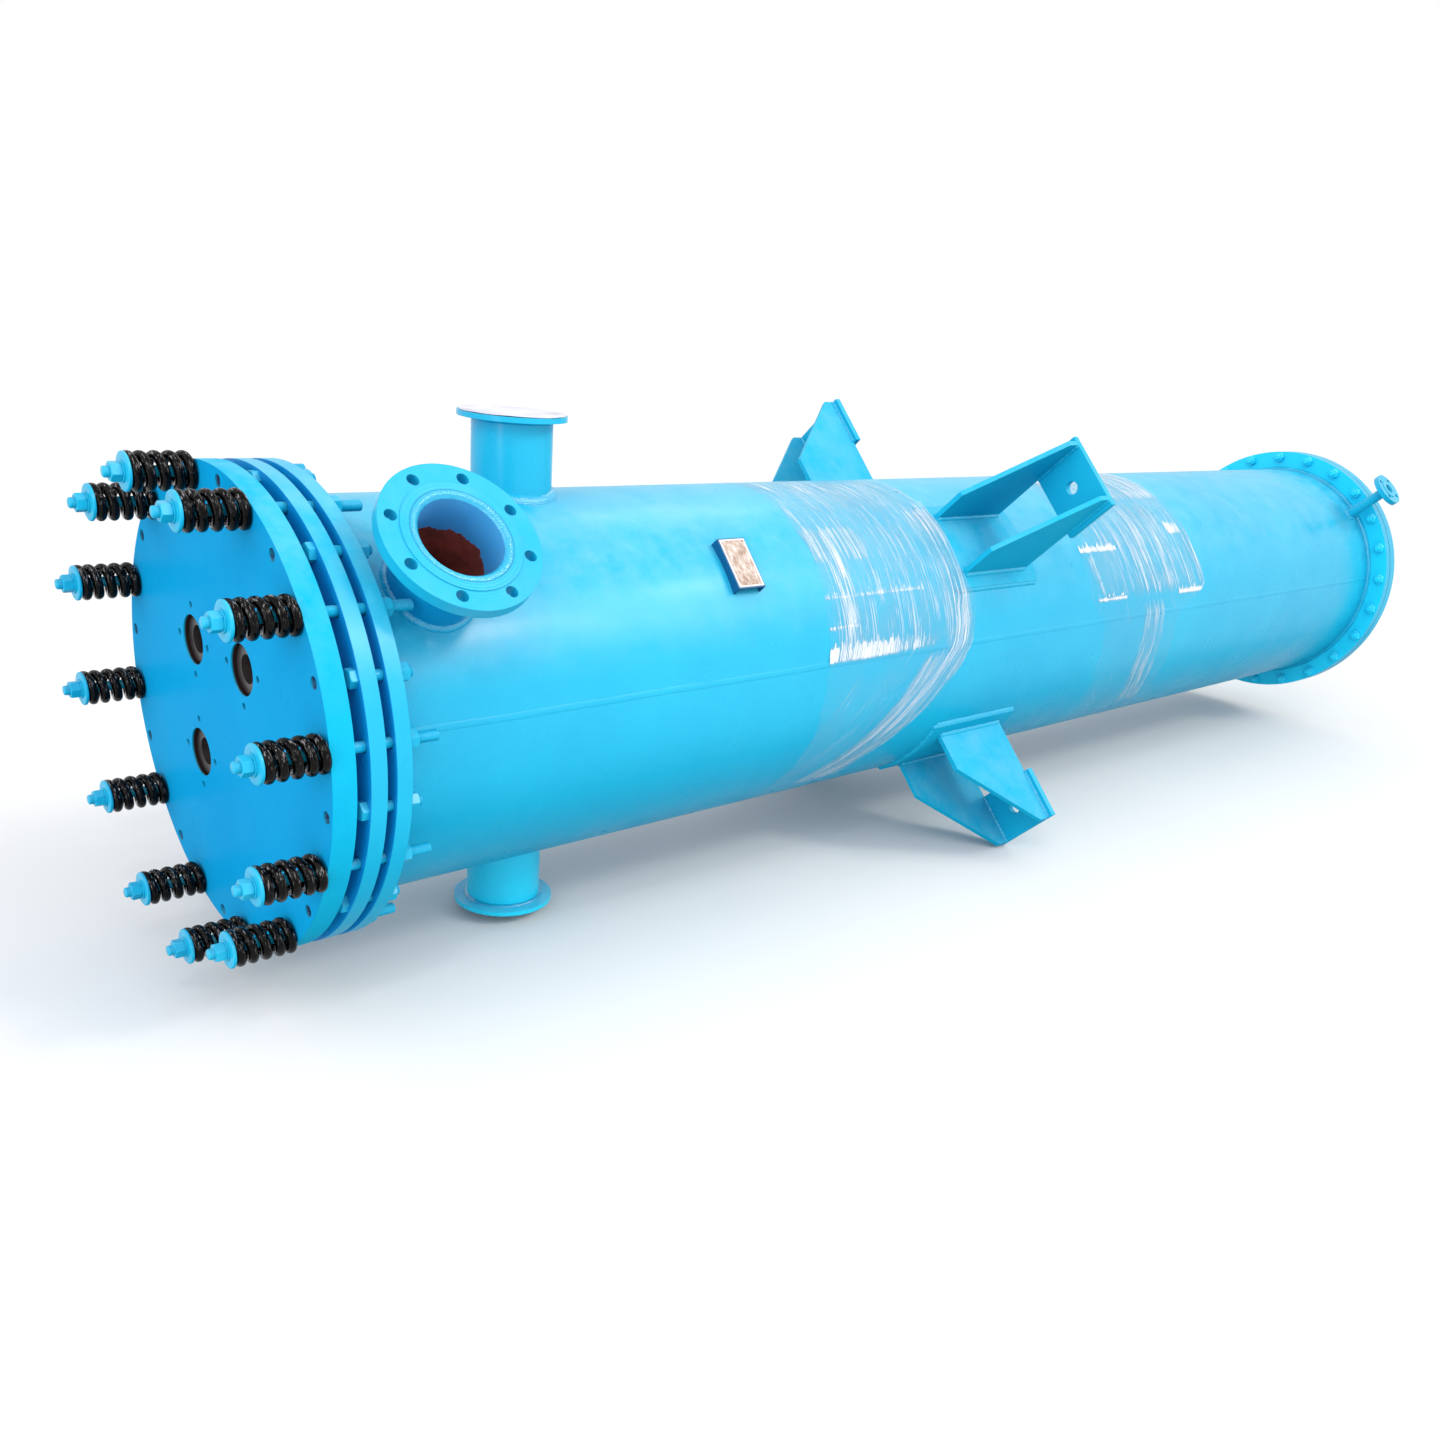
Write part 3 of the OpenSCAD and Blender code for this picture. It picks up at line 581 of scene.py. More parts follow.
def turned_face():
    """Enamel over a flange face: fine grooves = sin(radius), stronger in one zone, and a sunk step with a
    dark ring of painted shadow.
    """
    finish, tree, shader, place = new_finish("enamel_on_turned_face")
    colour, dust = enamel_colour(tree, place, 0.12)
    radius, height = inlet_distances(tree, place)
    zone_start = spread(tree, radius, GROOVES_FROM, GROOVES_FROM + 4.0)
    zone_end = spread(tree, radius, GROOVES_TO - 3.0, GROOVES_TO, 1.0, 0.0)
    depth = maths(tree, "MULTIPLY_ADD", zone_start, zone_end, 0.35)
    grooves = maths(tree, "MULTIPLY", maths(tree, "SINE", radius), depth)
    from_step = maths(tree, "ABSOLUTE", maths(tree, "SUBTRACT", radius, STEP_R))
    on_face = spread(tree, height, INLET_FACE - 3.0, INLET_FACE - 1.0)
    step = maths(tree, "MULTIPLY", spread(tree, from_step, 0.7, 1.5, 1.0, 0.0), on_face)
    # painted shadow: a dark ring at the step, which the bump below also sinks
    colour = blend(tree, maths(tree, "MULTIPLY", step, 0.7), colour, RECESS_SHADE_BLUE)
    grooves = maths(tree, "MULTIPLY_ADD", step, -4.0, grooves)
    skin = rounded_bump(tree, enamel_skin(tree, place, 1.0, grooves), 0.35, 0.0006)
    matt = maths(tree, "ADD", patchy(tree, place, 0.28, 0.40), dust)
    wire(tree, shader, Base_Color=colour, Roughness=matt, Normal=skin)
    wire(tree, shader, Specular_IOR_Level=0.25, Coat_Weight=0.10, Coat_Roughness=0.2, IOR=1.5)
    return finish


dress("inlet_pipe", nozzle_pipe_paint())
dress("inlet_flange", turned_face())
dress("impingement_plate", primer())
print("primer border in the bore:", PRIMER_DEPTH - PRIMER_RAGGED, "to", PRIMER_DEPTH, "mm below the face")

# %% [markdown]
# ## Smooth coil springs
# Each spring is a bar of round wire wound on a mandrel, closed at both ends and ground flat, then dipped in
# gloss black. The centre line is a helix whose rise is slow in the end turns and steep between them. A ring
# of points carried along that line gives the wire, and holding the ring between two planes grinds the ends.

# %% Spring wire
BOLT_CIRCLE_R, SPRING_STEP, SPRING_FIRST, SPRING_COUNT = 420.0, 30.0, 7.5, 12
SPRING_R, WIRE_R, OPEN_TURNS, TIP_TURN = 34.0, 9.0, 2.9, 20.0
END_PITCH, GROUND_SHARE = 1.02, 0.45
SPRING_LEN = -stations("spring_1")[0]
SPRING_ANGLES = SPRING_FIRST + SPRING_STEP * np.arange(SPRING_COUNT)


def coil_net(angle, rings=220, sides=18):
    """Rings on a helix, turned by 2 pi turns + the tip's turn. Height = rise + wire radius * sin(side),
    held between the ground ends; distance out = coil radius + wire radius * cos(side). Both ends close to a
    point. End turns rise by the pitch share of the wire, and the ground share of it is cut away."""
    turn = np.linspace(0.0, OPEN_TURNS + 2.0, rings)[:, None]
    side = np.linspace(0.0, 2 * np.pi, sides, endpoint=False)[None, :]
    end_rise, ground = 2 * WIRE_R * END_PITCH, 2 * WIRE_R * GROUND_SHARE
    open_rise = SPRING_LEN - 2 * end_rise - 2 * WIRE_R + 2 * ground
    knots = [0.0, 1.0, 1.0 + OPEN_TURNS, 2.0 + OPEN_TURNS]
    rise = np.interp(turn, knots, np.cumsum([0.0, end_rise, open_rise, end_rise]))
    around = 2 * np.pi * turn + np.radians(TIP_TURN - angle)
    middle = SPRING_R - WIRE_R
    thick = np.ones((rings, 1))
    thick[[0, -1]] = 0.0
    out = middle + WIRE_R * thick * np.cos(side)
    up = np.clip(WIRE_R - ground + rise + WIRE_R * thick * np.sin(side), 0.0, SPRING_LEN)
    return placed(angle, -up, -out * np.sin(around), BOLT_CIRCLE_R - out * np.cos(around))


print("spring length in mm:", round(SPRING_LEN, 2), "turns:", OPEN_TURNS + 2.0)

# %% [markdown]
# A dip coat is thick and dark, with a pebbled skin. Handling scuffs it brown on the high spots, and pale
# streaks along the top of the wire are painted glints. The streaks are a noise that is squeezed along the
# vessel, so it is drawn out round the coil, as the wire runs.

# %% Dip coat and the twelve coils
COAT_BLACK, COAT_BROWN, COAT_SCUFFED = (0.0010, 0.0009, 0.0011), (0.006, 0.0045, 0.004), (0.03, 0.021, 0.018)
PAINTED_GLINT_GREY, PAINTED_GLINT_SCALE = (0.26, 0.25, 0.26), (420.0, 85.0, 85.0)


def spring_black():
    """Thick gloss black with scuffed, slightly brown high spots, pale streaks along the top of the wire that
    are painted glints, and a pebbled dip-coat skin."""
    finish, tree, shader, place = new_finish("gloss_black_dip_coat")
    scuff = spread(tree, noise(tree, place, 85.0, 5.0, 0.7), 0.52, 0.75)
    colour = ramp(tree, scuff, (0.0, COAT_BLACK), (0.75, COAT_BROWN), (1.0, COAT_SCUFFED))
    # painted highlight: pale streaks on the upward side of the wire
    drawn = node(tree, "Mapping", {"Vector": place, "Scale": PAINTED_GLINT_SCALE}).outputs[0]
    painted_glints = spread(tree, noise(tree, drawn, 1.0, 2.0, 0.6), 0.58, 0.68)
    painted_glints = maths(tree, "MULTIPLY", painted_glints, spread(tree, face_height(tree), -0.1, 0.6, 0.0, 0.9))
    colour = blend(tree, painted_glints, colour, PAINTED_GLINT_GREY)
    skin = rounded_bump(tree, noise(tree, place, 200.0, 3.0), 0.25, 0.0010, 0.3)
    matt = maths(tree, "MULTIPLY_ADD", scuff, 0.20, 0.06)
    wire(tree, shader, Base_Color=colour, Roughness=matt, Normal=skin)
    wire(tree, shader, Specular_IOR_Level=0.11, IOR=1.5)
    return finish


dip_black = spring_black()
for number, angle in enumerate(SPRING_ANGLES, 1):
    coil = [(coil_net(angle), False, True)]
    make_piece(f"coil_{number}", coil, dip_black, (f"spring_{number}",))

# %% [markdown]
# ## Turned washers
# A dished washer passes the nut's pull to the whole end turn of a spring, and a flat washer lies on it.
# Both are lathe work: a profile of station and radius, turned round the stud. Small steps at the corners of
# the profile break the edges, so they catch the light.

# %% Dished and flat washers
CAP_FRONT = stations("spring_caps")[0]


def turned(angles, stations_mm, radii, samples=40):
    """A profile of station and radius turned round every stud: across = r sin t, out = R + r cos t."""
    t = np.linspace(0.0, 2 * np.pi, samples, endpoint=False)[None, None, :]
    angle = np.asarray(angles, float)[:, None, None]
    along = np.asarray(stations_mm, float)[None, :, None] + 0.0 * t
    radius = np.asarray(radii, float)[None, :, None]
    return placed(angle, along, radius * np.sin(t), BOLT_CIRCLE_R + radius * np.cos(t))


DISH = np.array([(0.0, 10.5), (0.0, 31.6), (-0.7, 32.6), (-1.6, 33.0), (-4.2, 33.0), (-5.1, 32.6),
                 (-5.7, 31.6), (-6.0, 29.0), (-6.6, 23.5), (-6.8, 20.0), (-6.8, 10.5)])
FLAT = np.array([(-6.8, 10.5), (-6.8, 18.4), (-7.2, 19.0), (-8.6, 19.0), (-9.0, 18.4), (-9.0, 10.5)])
washers = [(turned(SPRING_ANGLES, part[:, 0] - SPRING_LEN, part[:, 1]), True, True) for part in (DISH, FLAT)]
make_piece("spring_washers", washers, bolt_blue, ("spring_caps",), crease=50.0)

# %% [markdown]
# ## Nuts and bolt heads
# A hexagon has flat sides, and a lathe cuts a shallow cone on its end, which leaves the curved edge that
# every nut shows. So the radius at any spot is the smaller of two: the hexagon's and the cone's. No spanner
# leaves two nuts at the same turn, so each gets a turn of its own from a seeded draw.

# %% Hexagons
NUT_AF, NUT_H, HEAD_H, STUD_R = 30.0, 18.0, 12.5, 10.0
CONE_SHARE, CONE_SLOPE = 0.965, 1.9
turns = np.random.default_rng(7)


def hexagons(angles, base, height, bore, both_ends, heading=1.0):
    """Radius = min(half the width / cos(angle from the flat), cone radius), where cone radius = share * half
    the width + slope * distance from the end. Rows climb from the base and cross the end; a bored nut also
    comes back down the bore. heading is the way the nut stands off its seat."""
    t = np.linspace(0.0, 2 * np.pi, 72, endpoint=False)[None, None, :]
    spin = turns.uniform(0.0, np.pi / 3, len(angles))[:, None, None]
    corner = np.mod(t, np.pi / 3) - np.pi / 6
    flat = NUT_AF / 2 / np.cos(corner)
    cut = np.array([0.0, 0.35, 0.8, 1.3, 2.0])
    low = cut if both_ends else np.array([0.0, 0.01])
    level = np.concatenate([low, height - cut[::-1]])[None, :, None]
    from_end = np.minimum(height - level, level) if both_ends else height - level
    cone = NUT_AF / 2 * CONE_SHARE + from_end * CONE_SLOPE
    radius = np.minimum(flat, cone)
    inner = np.full_like(radius[:, :1], bore)
    radius = np.concatenate([inner, radius, inner], 1)
    level = np.concatenate([level[:, :1], level, level[:, -1:]], 1)
    angle = np.asarray(angles, float)[:, None, None]
    along = base + heading * level + 0.0 * t + 0.0 * angle
    return placed(angle, along, radius * np.sin(t + spin), BOLT_CIRCLE_R + radius * np.cos(t + spin))


CLAMP_ANGLES = SPRING_ANGLES + SPRING_STEP / 2
FAR_ANGLES = 7.5 + 15.0 * np.arange(24)
FRONT_BACK, CLAMP_FRONT = stations("front_flange")[1], stations("clamp_ring")[0]
FAR_FRONT, COVER_BACK = stations("far_flange")[0], stations("far_cover")[1]
NUTS = {
    "spring_nuts": (SPRING_ANGLES, CAP_FRONT, -1.0),
    "stud_rear_nuts": (SPRING_ANGLES, FRONT_BACK, 1.0),
    "clamp_bolt_nuts": (CLAMP_ANGLES, FRONT_BACK, 1.0),
    "far_bolt_nuts": (FAR_ANGLES, FAR_FRONT, -1.0),
}
for name, (angles, seat, heading) in NUTS.items():
    net = hexagons(angles, seat, NUT_H, STUD_R - 0.6, True, heading)
    # painted light: the far nuts take the paler coat
    coat = painted_lit_blue if name.startswith("far") else bolt_blue
    make_piece("chamfered_" + name, [(net, True, True)], coat, (name,), crease=28.0)

# %% [markdown]
# ## Threads
# A thread is a groove that climbs one pitch each turn. On a net this is simple: the radius dips with a wave
# of the height minus the turn. Paint half fills the grooves, so the dip is shallow and rounded. Only the
# ends that stand past a nut are threaded here, because nobody sees the rest.

# %% Studs and bolts
PITCH, THREAD_DEPTH, THREAD_STEP = 2.5, 1.0, 0.42
TIP_LEN, TIP_CUT = 1.8, 1.9


def rod(angles, start, end, threaded, samples=22):
    """Radius = stud radius - depth * groove, with groove = (1 - cos(2 pi (height / pitch - turn))) / 2 in the
    threaded spans; both tips are chamfered and close to a point."""
    spans = [np.arange(a, b, THREAD_STEP) for a, b in threaded]
    level = np.unique(np.concatenate([[start, end, start + TIP_LEN, end - TIP_LEN], *spans]))
    level = np.concatenate([[start], level, [end]])[None, :, None]
    t = np.linspace(0.0, 2 * np.pi, samples, endpoint=False)[None, None, :]
    inside = np.any([(level >= a) & (level <= b) for a, b in threaded], 0)
    groove = 0.5 - 0.5 * np.cos(2 * np.pi * level / PITCH - t)
    tip = np.minimum(level - start, end - level)
    radius = np.minimum(STUD_R - THREAD_DEPTH * inside * groove, STUD_R - TIP_CUT + tip)
    radius[:, [0, -1]] = 0.0
    angle = np.asarray(angles, float)[:, None, None]
    along = level + 0.0 * t + 0.0 * angle
    across, down = radius * np.sin(t), radius * np.cos(t)
    return placed(angle, along, across + 0.0 * angle, BOLT_CIRCLE_R + down + 0.0 * angle)


STUD_TIP, STUD_REAR = stations("spring_studs")
studs = rod(SPRING_ANGLES, STUD_TIP, STUD_REAR, [(STUD_TIP, STUD_TIP + 20.0), (STUD_REAR - 43.0, STUD_REAR)])
stud_nets = [(studs, False, True)]
make_piece("threaded_spring_studs", stud_nets, bolt_blue, ("spring_studs",), crease=60.0)

CLAMP_END, FAR_TIP = stations("clamp_bolts")[1], stations("far_bolts")[0]
clamp_shank = rod(CLAMP_ANGLES, CLAMP_FRONT - 4.0, CLAMP_END, [(CLAMP_END - 11.0, CLAMP_END)])
clamp_head = hexagons(CLAMP_ANGLES, CLAMP_FRONT, HEAD_H, 0.0, False, -1.0)
clamp_nets = [(clamp_shank, False, True), (clamp_head, False, True)]
make_piece("clamp_hex_bolts", clamp_nets, bolt_blue, ("clamp_bolts",))
# painted light: the far bolts take the paler coat
far_shank = rod(FAR_ANGLES, FAR_TIP, COVER_BACK + 4.0, [(FAR_TIP, FAR_TIP + 11.0)], 16)
far_head = hexagons(FAR_ANGLES, COVER_BACK, HEAD_H, 0.0, False, 1.0)
far_nets = [(far_shank, False, True), (far_head, False, True)]
make_piece("far_hex_bolts", far_nets, painted_lit_blue, ("far_bolts",))

# %% [markdown]
# ## Welds
# A fillet weld fills the corner between two faces. The welder's hand leaves it as a row of small crescents,
# each laid half over the last, and the gloss paint makes them sparkle. The net runs along the corner in one
# direction and from face to face in the other; a rounded saw along the corner makes the crescents, and a
# slow wander makes the leg of the weld grow and shrink a little.

# %% A weld in a corner
LEG_STEP, CROWN, CRESCENT_RISE = 1.5, 0.16, 0.12


def unit(vectors):
    """Vectors scaled to length one."""
    return vectors / np.linalg.norm(vectors, axis=-1, keepdims=True)


def fillet(root, first, second, leg, loop, seed, crescent=5.5):
    """A weld on a root line, with two directions along the faces at each point. Skin = root + leg * ((1 - t)
    first + t second + bulge * mean), where bulge = (crown + rise * crescents) * sin(pi t) and mean lies
    halfway between the two directions. The leg wanders a little, and tapers where the weld has ends."""
    draw = np.random.default_rng(seed)
    step = np.linalg.norm(np.diff(root, axis=0, append=root[:1] if loop else root[-1:]), axis=-1) / MM
    run = np.cumsum(step) - step
    total = max(float(run[-1] + step[-1]), 1.0)
    if loop:
        crescent = total / max(round(total / crescent), 1)
    t = np.linspace(0.0, 1.0, 7)[None, :]
    arch = np.sin(np.pi * t)
    wave = np.abs(np.sin(np.pi * (run[:, None] + 2.2 * arch) / crescent))
    phase = draw.uniform(0.0, 2 * np.pi, 4)
    wander = sum(np.sin(2 * np.pi * k * run / total + p) for k, p in zip((3, 7, 12, 19), phase)) * 0.035
    taper = 1.0 if loop else np.clip(np.minimum(run, total - run) / 5.0, 0.0, 1.0) ** 0.5
    size = (leg * MM * (1.0 + wander) * taper)[:, None, None]
    uneven = 0.7 + 0.3 * np.sin(run[:, None] * 0.9 + phase[0]) * np.sin(run[:, None] * 0.37 + phase[1])
    bulge = (CROWN + CRESCENT_RISE * wave * uneven) * arch
    mean = unit(first + second)[:, None, :]
    t = t[..., None]
    face = (1 - t) * first[:, None, :] + t * second[:, None, :] + bulge[..., None] * mean
    skin = root[:, None, :] + size * face
    return np.concatenate([skin, root[:, None, :] - 0.12 * size * mean], 1), loop, True


def way(angle, along, across, out):
    """A direction in a spot's own terms, turned into the shared frame."""
    return (placed(angle, along, across, out) - ORIGIN) / MM


print("points along a metre of weld:", round(1.0 / (LEG_STEP * MM)))

# %% [markdown]
# Each nozzle has two such corners: one where its pipe meets the drum, and one behind its flange. On the
# drum the corner is a saddle, because the pipe's circle rises and falls on the round shell.

# %% Nozzle welds
def saddle(angle, along, pipe_r, leg, seed):
    """Weld where a round pipe meets the drum: the pipe's circle laid on it, out = sqrt(R^2 - across^2)."""
    t = np.linspace(0.0, 2 * np.pi, round(2 * np.pi * pipe_r / LEG_STEP), endpoint=False)
    across, down = pipe_r * np.sin(t), pipe_r * np.cos(t)
    out = np.sqrt(SHELL_R**2 - across**2)
    root = placed(angle, along + down, across, out)
    normal = way(angle, 0.0 * t, across / SHELL_R, out / SHELL_R)
    away = way(angle, np.cos(t), np.sin(t), 0.0 * t)
    away = unit(away - np.sum(away * normal, -1, keepdims=True) * normal)
    return fillet(root, away, way(angle, 0.0 * t, 0.0 * t, 1.0 + 0.0 * t), leg, True, seed)


def collar_weld(angle, along, pipe_r, level, heading, leg, seed):
    """Weld where a pipe enters the back of a flange: a level circle round the pipe."""
    t = np.linspace(0.0, 2 * np.pi, round(2 * np.pi * pipe_r / LEG_STEP), endpoint=False)
    root = placed(angle, along + pipe_r * np.cos(t), pipe_r * np.sin(t), level + 0.0 * t)
    away = way(angle, np.cos(t), np.sin(t), 0.0 * t)
    return fillet(root, away, way(angle, 0.0 * t, 0.0 * t, heading + 0.0 * t), leg, True, seed)


nozzle_welds = [
    saddle(INLET_ANGLE, INLET_ALONG, PIPE_R, 8.5, 1),
    saddle(90.0, UPRIGHT_ALONG, PIPE_R, 13.0, 2),
    saddle(-90.0, UPRIGHT_ALONG, PIPE_R, 12.0, 3),
    saddle(VENT_ANGLE, VENT_ALONG, VENT_R, 6.0, 4),
    collar_weld(INLET_ANGLE, INLET_ALONG, PIPE_R, INLET_FACE - 24.0, -1.0, 7.0, 5),
    collar_weld(90.0, UPRIGHT_ALONG, PIPE_R, TOP_FACE - 10.0, -1.0, 6.0, 6),
    collar_weld(-90.0, UPRIGHT_ALONG, PIPE_R, BOTTOM_FACE - 10.0, -1.0, 6.0, 7),
    collar_weld(VENT_ANGLE, VENT_ALONG, VENT_R, VENT_FACE - 18.0, -1.0, 4.5, 8),
]
make_piece("nozzle_weld_beads", nozzle_welds, bead_blue, crease=80.0)

# %% [markdown]
# The three large nozzles have one more weld, in the mouth. The pipe ends just below the flange face, and a
# bead joins its end to the flange, a broad one on the sloping nozzle. It is a ring with its own profile,
# from the pipe's wall up over the face.

# %% Weld rings in the mouths
def mouth_weld(angle, along, face, sink, reach, seed, rise=1.5):
    """A profile from the pipe's end over the flange face, turned round the nozzle, with crescents on top."""
    count = round(2 * np.pi * PIPE_R / LEG_STEP)
    t = np.linspace(0.0, 2 * np.pi, count, endpoint=False)[:, None]
    profile = np.linspace(0.0, 1.0, 9)[None, :]
    draw = np.random.default_rng(seed).uniform(0.0, 6.3, 3)
    wander = sum(np.sin(k * t + p) for k, p in zip((5, 9, 14), draw)) * 0.5
    wave = np.abs(np.sin(45 * t + 0.8 * np.sin(np.pi * profile))) * (0.7 + 0.3 * np.sin(23 * t + 1.0))
    radius = PIPE_BORE_R + (reach + wander) * profile
    level = face - sink * (1 - profile) ** 2 + (rise * 0.4 + rise * 0.6 * wave) * np.sin(np.pi * profile)
    skin = placed(angle, along + radius * np.cos(t), radius * np.sin(t), level)
    under = PIPE_R * np.ones_like(t)
    back = placed(angle, along + under * np.cos(t), under * np.sin(t), face - sink - 0.5 + 0.0 * t)
    return np.concatenate([skin, back], 1), True, True


mouths = [
    mouth_weld(INLET_ANGLE, INLET_ALONG, INLET_FACE, 5.0, 12.5, 9, 2.6),
    mouth_weld(90.0, UPRIGHT_ALONG, TOP_FACE - 1.6, 3.0, 5.0, 10, 0.8),
    mouth_weld(-90.0, UPRIGHT_ALONG, BOTTOM_FACE - 1.6, 3.0, 5.0, 11, 0.8),
]
make_piece("mouth_weld_rings", mouths, bead_blue, crease=80.0)

# %% [markdown]
# ## Welds on the drum
# Both shell flanges are welded to the drum all round, and one long seam closes the rolled plate. The seam
# lies low on the near side, just above the level. It is a flat bead, so it gets a cap profile of its own.

# %% Flange joints and the long seam
def ring_weld(station, heading, leg, seed):
    """Weld round the drum at a flange: one face runs along the drum, the other up the flange."""
    t = np.linspace(-180.0, 180.0, 1400, endpoint=False)
    root = on_shell(station + 0.0 * t, SHELL_R + 0.0 * t, t)
    along = way(t, heading + 0.0 * t, 0.0 * t, 0.0 * t)
    return fillet(root, along, way(t, 0.0 * t, 0.0 * t, 1.0 + 0.0 * t), leg, True, seed, 6.5)


SEAM_ANGLE, SEAM_HALF, SEAM_RISE = 7.4, 7.0, 1.3


def seam_net():
    """A cap along the drum: height = rise (1 - s^2) (0.75 + 0.25 crescents), across = half width times s."""
    run = np.arange(FRONT_BACK + 6.0, FAR_FRONT - 6.0, 2.2)[:, None]
    s = np.linspace(-1.0, 1.0, 9)[None, :]
    wave = np.abs(np.sin(np.pi * (run + 3.0 * (1 - s**2)) / 7.5))
    wander = 0.5 * np.sin(run / 90.0) + 0.35 * np.sin(run / 37.0 + 1.0)
    end = np.clip(np.minimum(run - run[0], run[-1] - run) / 6.0, 0.0, 1.0)
    lift = SEAM_RISE * (1 - s**2) * (0.75 + 0.25 * wave) * end
    angle = SEAM_ANGLE + np.degrees((SEAM_HALF * s + wander) / SHELL_R)
    skin = on_shell(run + 0.0 * s, SHELL_R - 0.3 + lift, angle)
    under = on_shell(run, SHELL_R - 2.5 + 0.0 * run, SEAM_ANGLE + np.degrees(wander / SHELL_R))
    return np.concatenate([skin, under], 1), False, True


drum_welds = [ring_weld(FRONT_BACK, 1.0, 9.0, 21), ring_weld(FAR_FRONT, -1.0, 9.0, 22)]
make_piece("drum_weld_beads", drum_welds, drum_bead_blue, crease=80.0)
make_piece("long_seam_bead", [seam_net()], sky_blue, crease=80.0)

# %% [markdown]
# ## Welds on the lugs
# Each lug is a pad, two gussets and a bearing plate. The pad is welded round its edge, the gussets along
# the pad on both sides, and the bearing plate up both gussets. All of these are straight or slightly curved
# corners, so one table of corners feeds the same weld formula.

# %% Lug welds
LUG_ANGLES = (45.0, 135.0, -135.0, -45.0)
LUG_ALONG, GUSSET_LEN, GUSSET_OUT, GUSSET_IN = 1928.0, 246.0, 85.0, 73.0
PAD_R, PAD_HALF, PAD_FROM, PAD_TO = SHELL_R + 8.0, 118.0, *stations("lug_pads")
BASE_INNER, BASE_OUTER = 526.0, 665.0


def long_corner(angle, across, radius, start, end, heading, leg, seed):
    """Weld along the vessel beside an upright face: one face runs out, the other lies on the drum."""
    run = np.arange(start, end + LEG_STEP, LEG_STEP)
    flat = 0.0 * run
    out = np.sqrt(radius**2 - across**2)
    root = placed(angle, run, across + flat, out + flat)
    lie = unit(np.array([0.0, heading * out, -heading * across]))
    first = way(angle, flat, lie[1] + flat, lie[2] + flat)
    return fillet(root, first, way(angle, flat, flat, 1.0 + flat), leg, False, seed)


def end_corner(angle, station, heading, leg, seed):
    """Weld across the end of a pad: an arc on the drum."""
    half = np.degrees(np.arcsin(PAD_HALF / SHELL_R))
    arc = np.linspace(angle - half, angle + half, round(2 * PAD_HALF / LEG_STEP))
    flat = 0.0 * arc
    root = on_shell(station + flat, SHELL_R + flat, arc)
    along, out = way(arc, heading + flat, flat, flat), way(arc, flat, flat, 1.0 + flat)
    return fillet(root, along, out, leg, False, seed)


def plate_corner(angle, across, heading, leg, seed):
    """Weld up a gusset in front of the bearing plate."""
    out = np.arange(BASE_INNER, BASE_OUTER + LEG_STEP, LEG_STEP)
    flat = 0.0 * out
    root = placed(angle, LUG_ALONG + flat, across + flat, out)
    sideways, forward = way(angle, flat, heading + flat, flat), way(angle, flat - 1.0, flat, flat)
    return fillet(root, sideways, forward, leg, False, seed)


GUSSET_FACES = ((GUSSET_OUT, 1.0), (GUSSET_IN, -1.0), (-GUSSET_OUT, -1.0), (-GUSSET_IN, 1.0))
PAD_LEG, PLATE_LEG = 7.0, 5.5
lug_welds = []
for lug, angle in enumerate(LUG_ANGLES):
    seed = 100 * (lug + 1)
    for side in (1.0, -1.0):
        edge, own_seed = side * PAD_HALF, seed + int(side)
        lug_welds.append(long_corner(angle, edge, SHELL_R, PAD_FROM, PAD_TO, side, PAD_LEG, own_seed))
    lug_welds.append(end_corner(angle, PAD_FROM, -1.0, PAD_LEG, seed + 5))
    lug_welds.append(end_corner(angle, PAD_TO, 1.0, PAD_LEG, seed + 6))
    for k, (across, side) in enumerate(GUSSET_FACES):
        start = LUG_ALONG - GUSSET_LEN
        lug_welds.append(long_corner(angle, across, PAD_R, start, LUG_ALONG, side, PAD_LEG, seed + 10 + k))
    lug_welds += [plate_corner(angle, across, side, PLATE_LEG, seed + 20 + k)
                  for k, (across, side) in enumerate(GUSSET_FACES)]
make_piece("lug_weld_beads", lug_welds, drum_bead_blue, crease=80.0)

# %% [markdown]
# ## The cover sheet on the upper nozzle
# A thin pale plastic disc was laid over the upper nozzle to keep dirt out. Plastic of that kind is never
# quite flat: it lifts a little at the rim and sinks where nothing carries it. On a polar net the height is
# a sum of a dip in the middle and a few soft waves that grow towards the rim.

# %% Cover sheet
COVER_R, COVER_T = 103.0, 1.2
COVER_GAP, COVER_DIP, COVER_WAVE, WAVES_FROM = 0.15, 2.2, 0.7, 0.72


def cover_net():
    """Height = gap + thickness - dip (1 - r^2)^2 + waves that grow over the outer quarter, on rings from the
    centre; the underside closes the sheet."""
    t = np.linspace(0.0, 2 * np.pi, 120, endpoint=False)[None, :]
    r = np.concatenate([np.linspace(0.0, 1.0, 26), [1.004, 1.0], np.linspace(1.0, 0.0, 26)])[:, None]
    top = np.concatenate([np.ones(26), [0.5, 0.0], np.zeros(26)])[:, None]
    waves = 0.5 * np.cos(3 * t + 0.4) + 0.35 * np.cos(7 * t + 2.0) + 0.25 * np.cos(11 * t)
    dip = COVER_DIP * (1 - np.minimum(r, 1.0) ** 2) ** 2
    lift = COVER_WAVE * (waves + 1.1) * np.clip(r - WAVES_FROM, 0.0, 1.0) / (1.0 - WAVES_FROM)
    level = TOP_FACE + COVER_GAP + COVER_T * top - dip + lift
    radius = COVER_R * r
    return placed(90.0, UPRIGHT_ALONG + radius * np.cos(t), radius * np.sin(t), level), False, True


PLASTIC_DIRTY, PLASTIC_GREY, PLASTIC_PALE = (0.34, 0.34, 0.44), (0.56, 0.57, 0.67), (0.66, 0.69, 0.76)


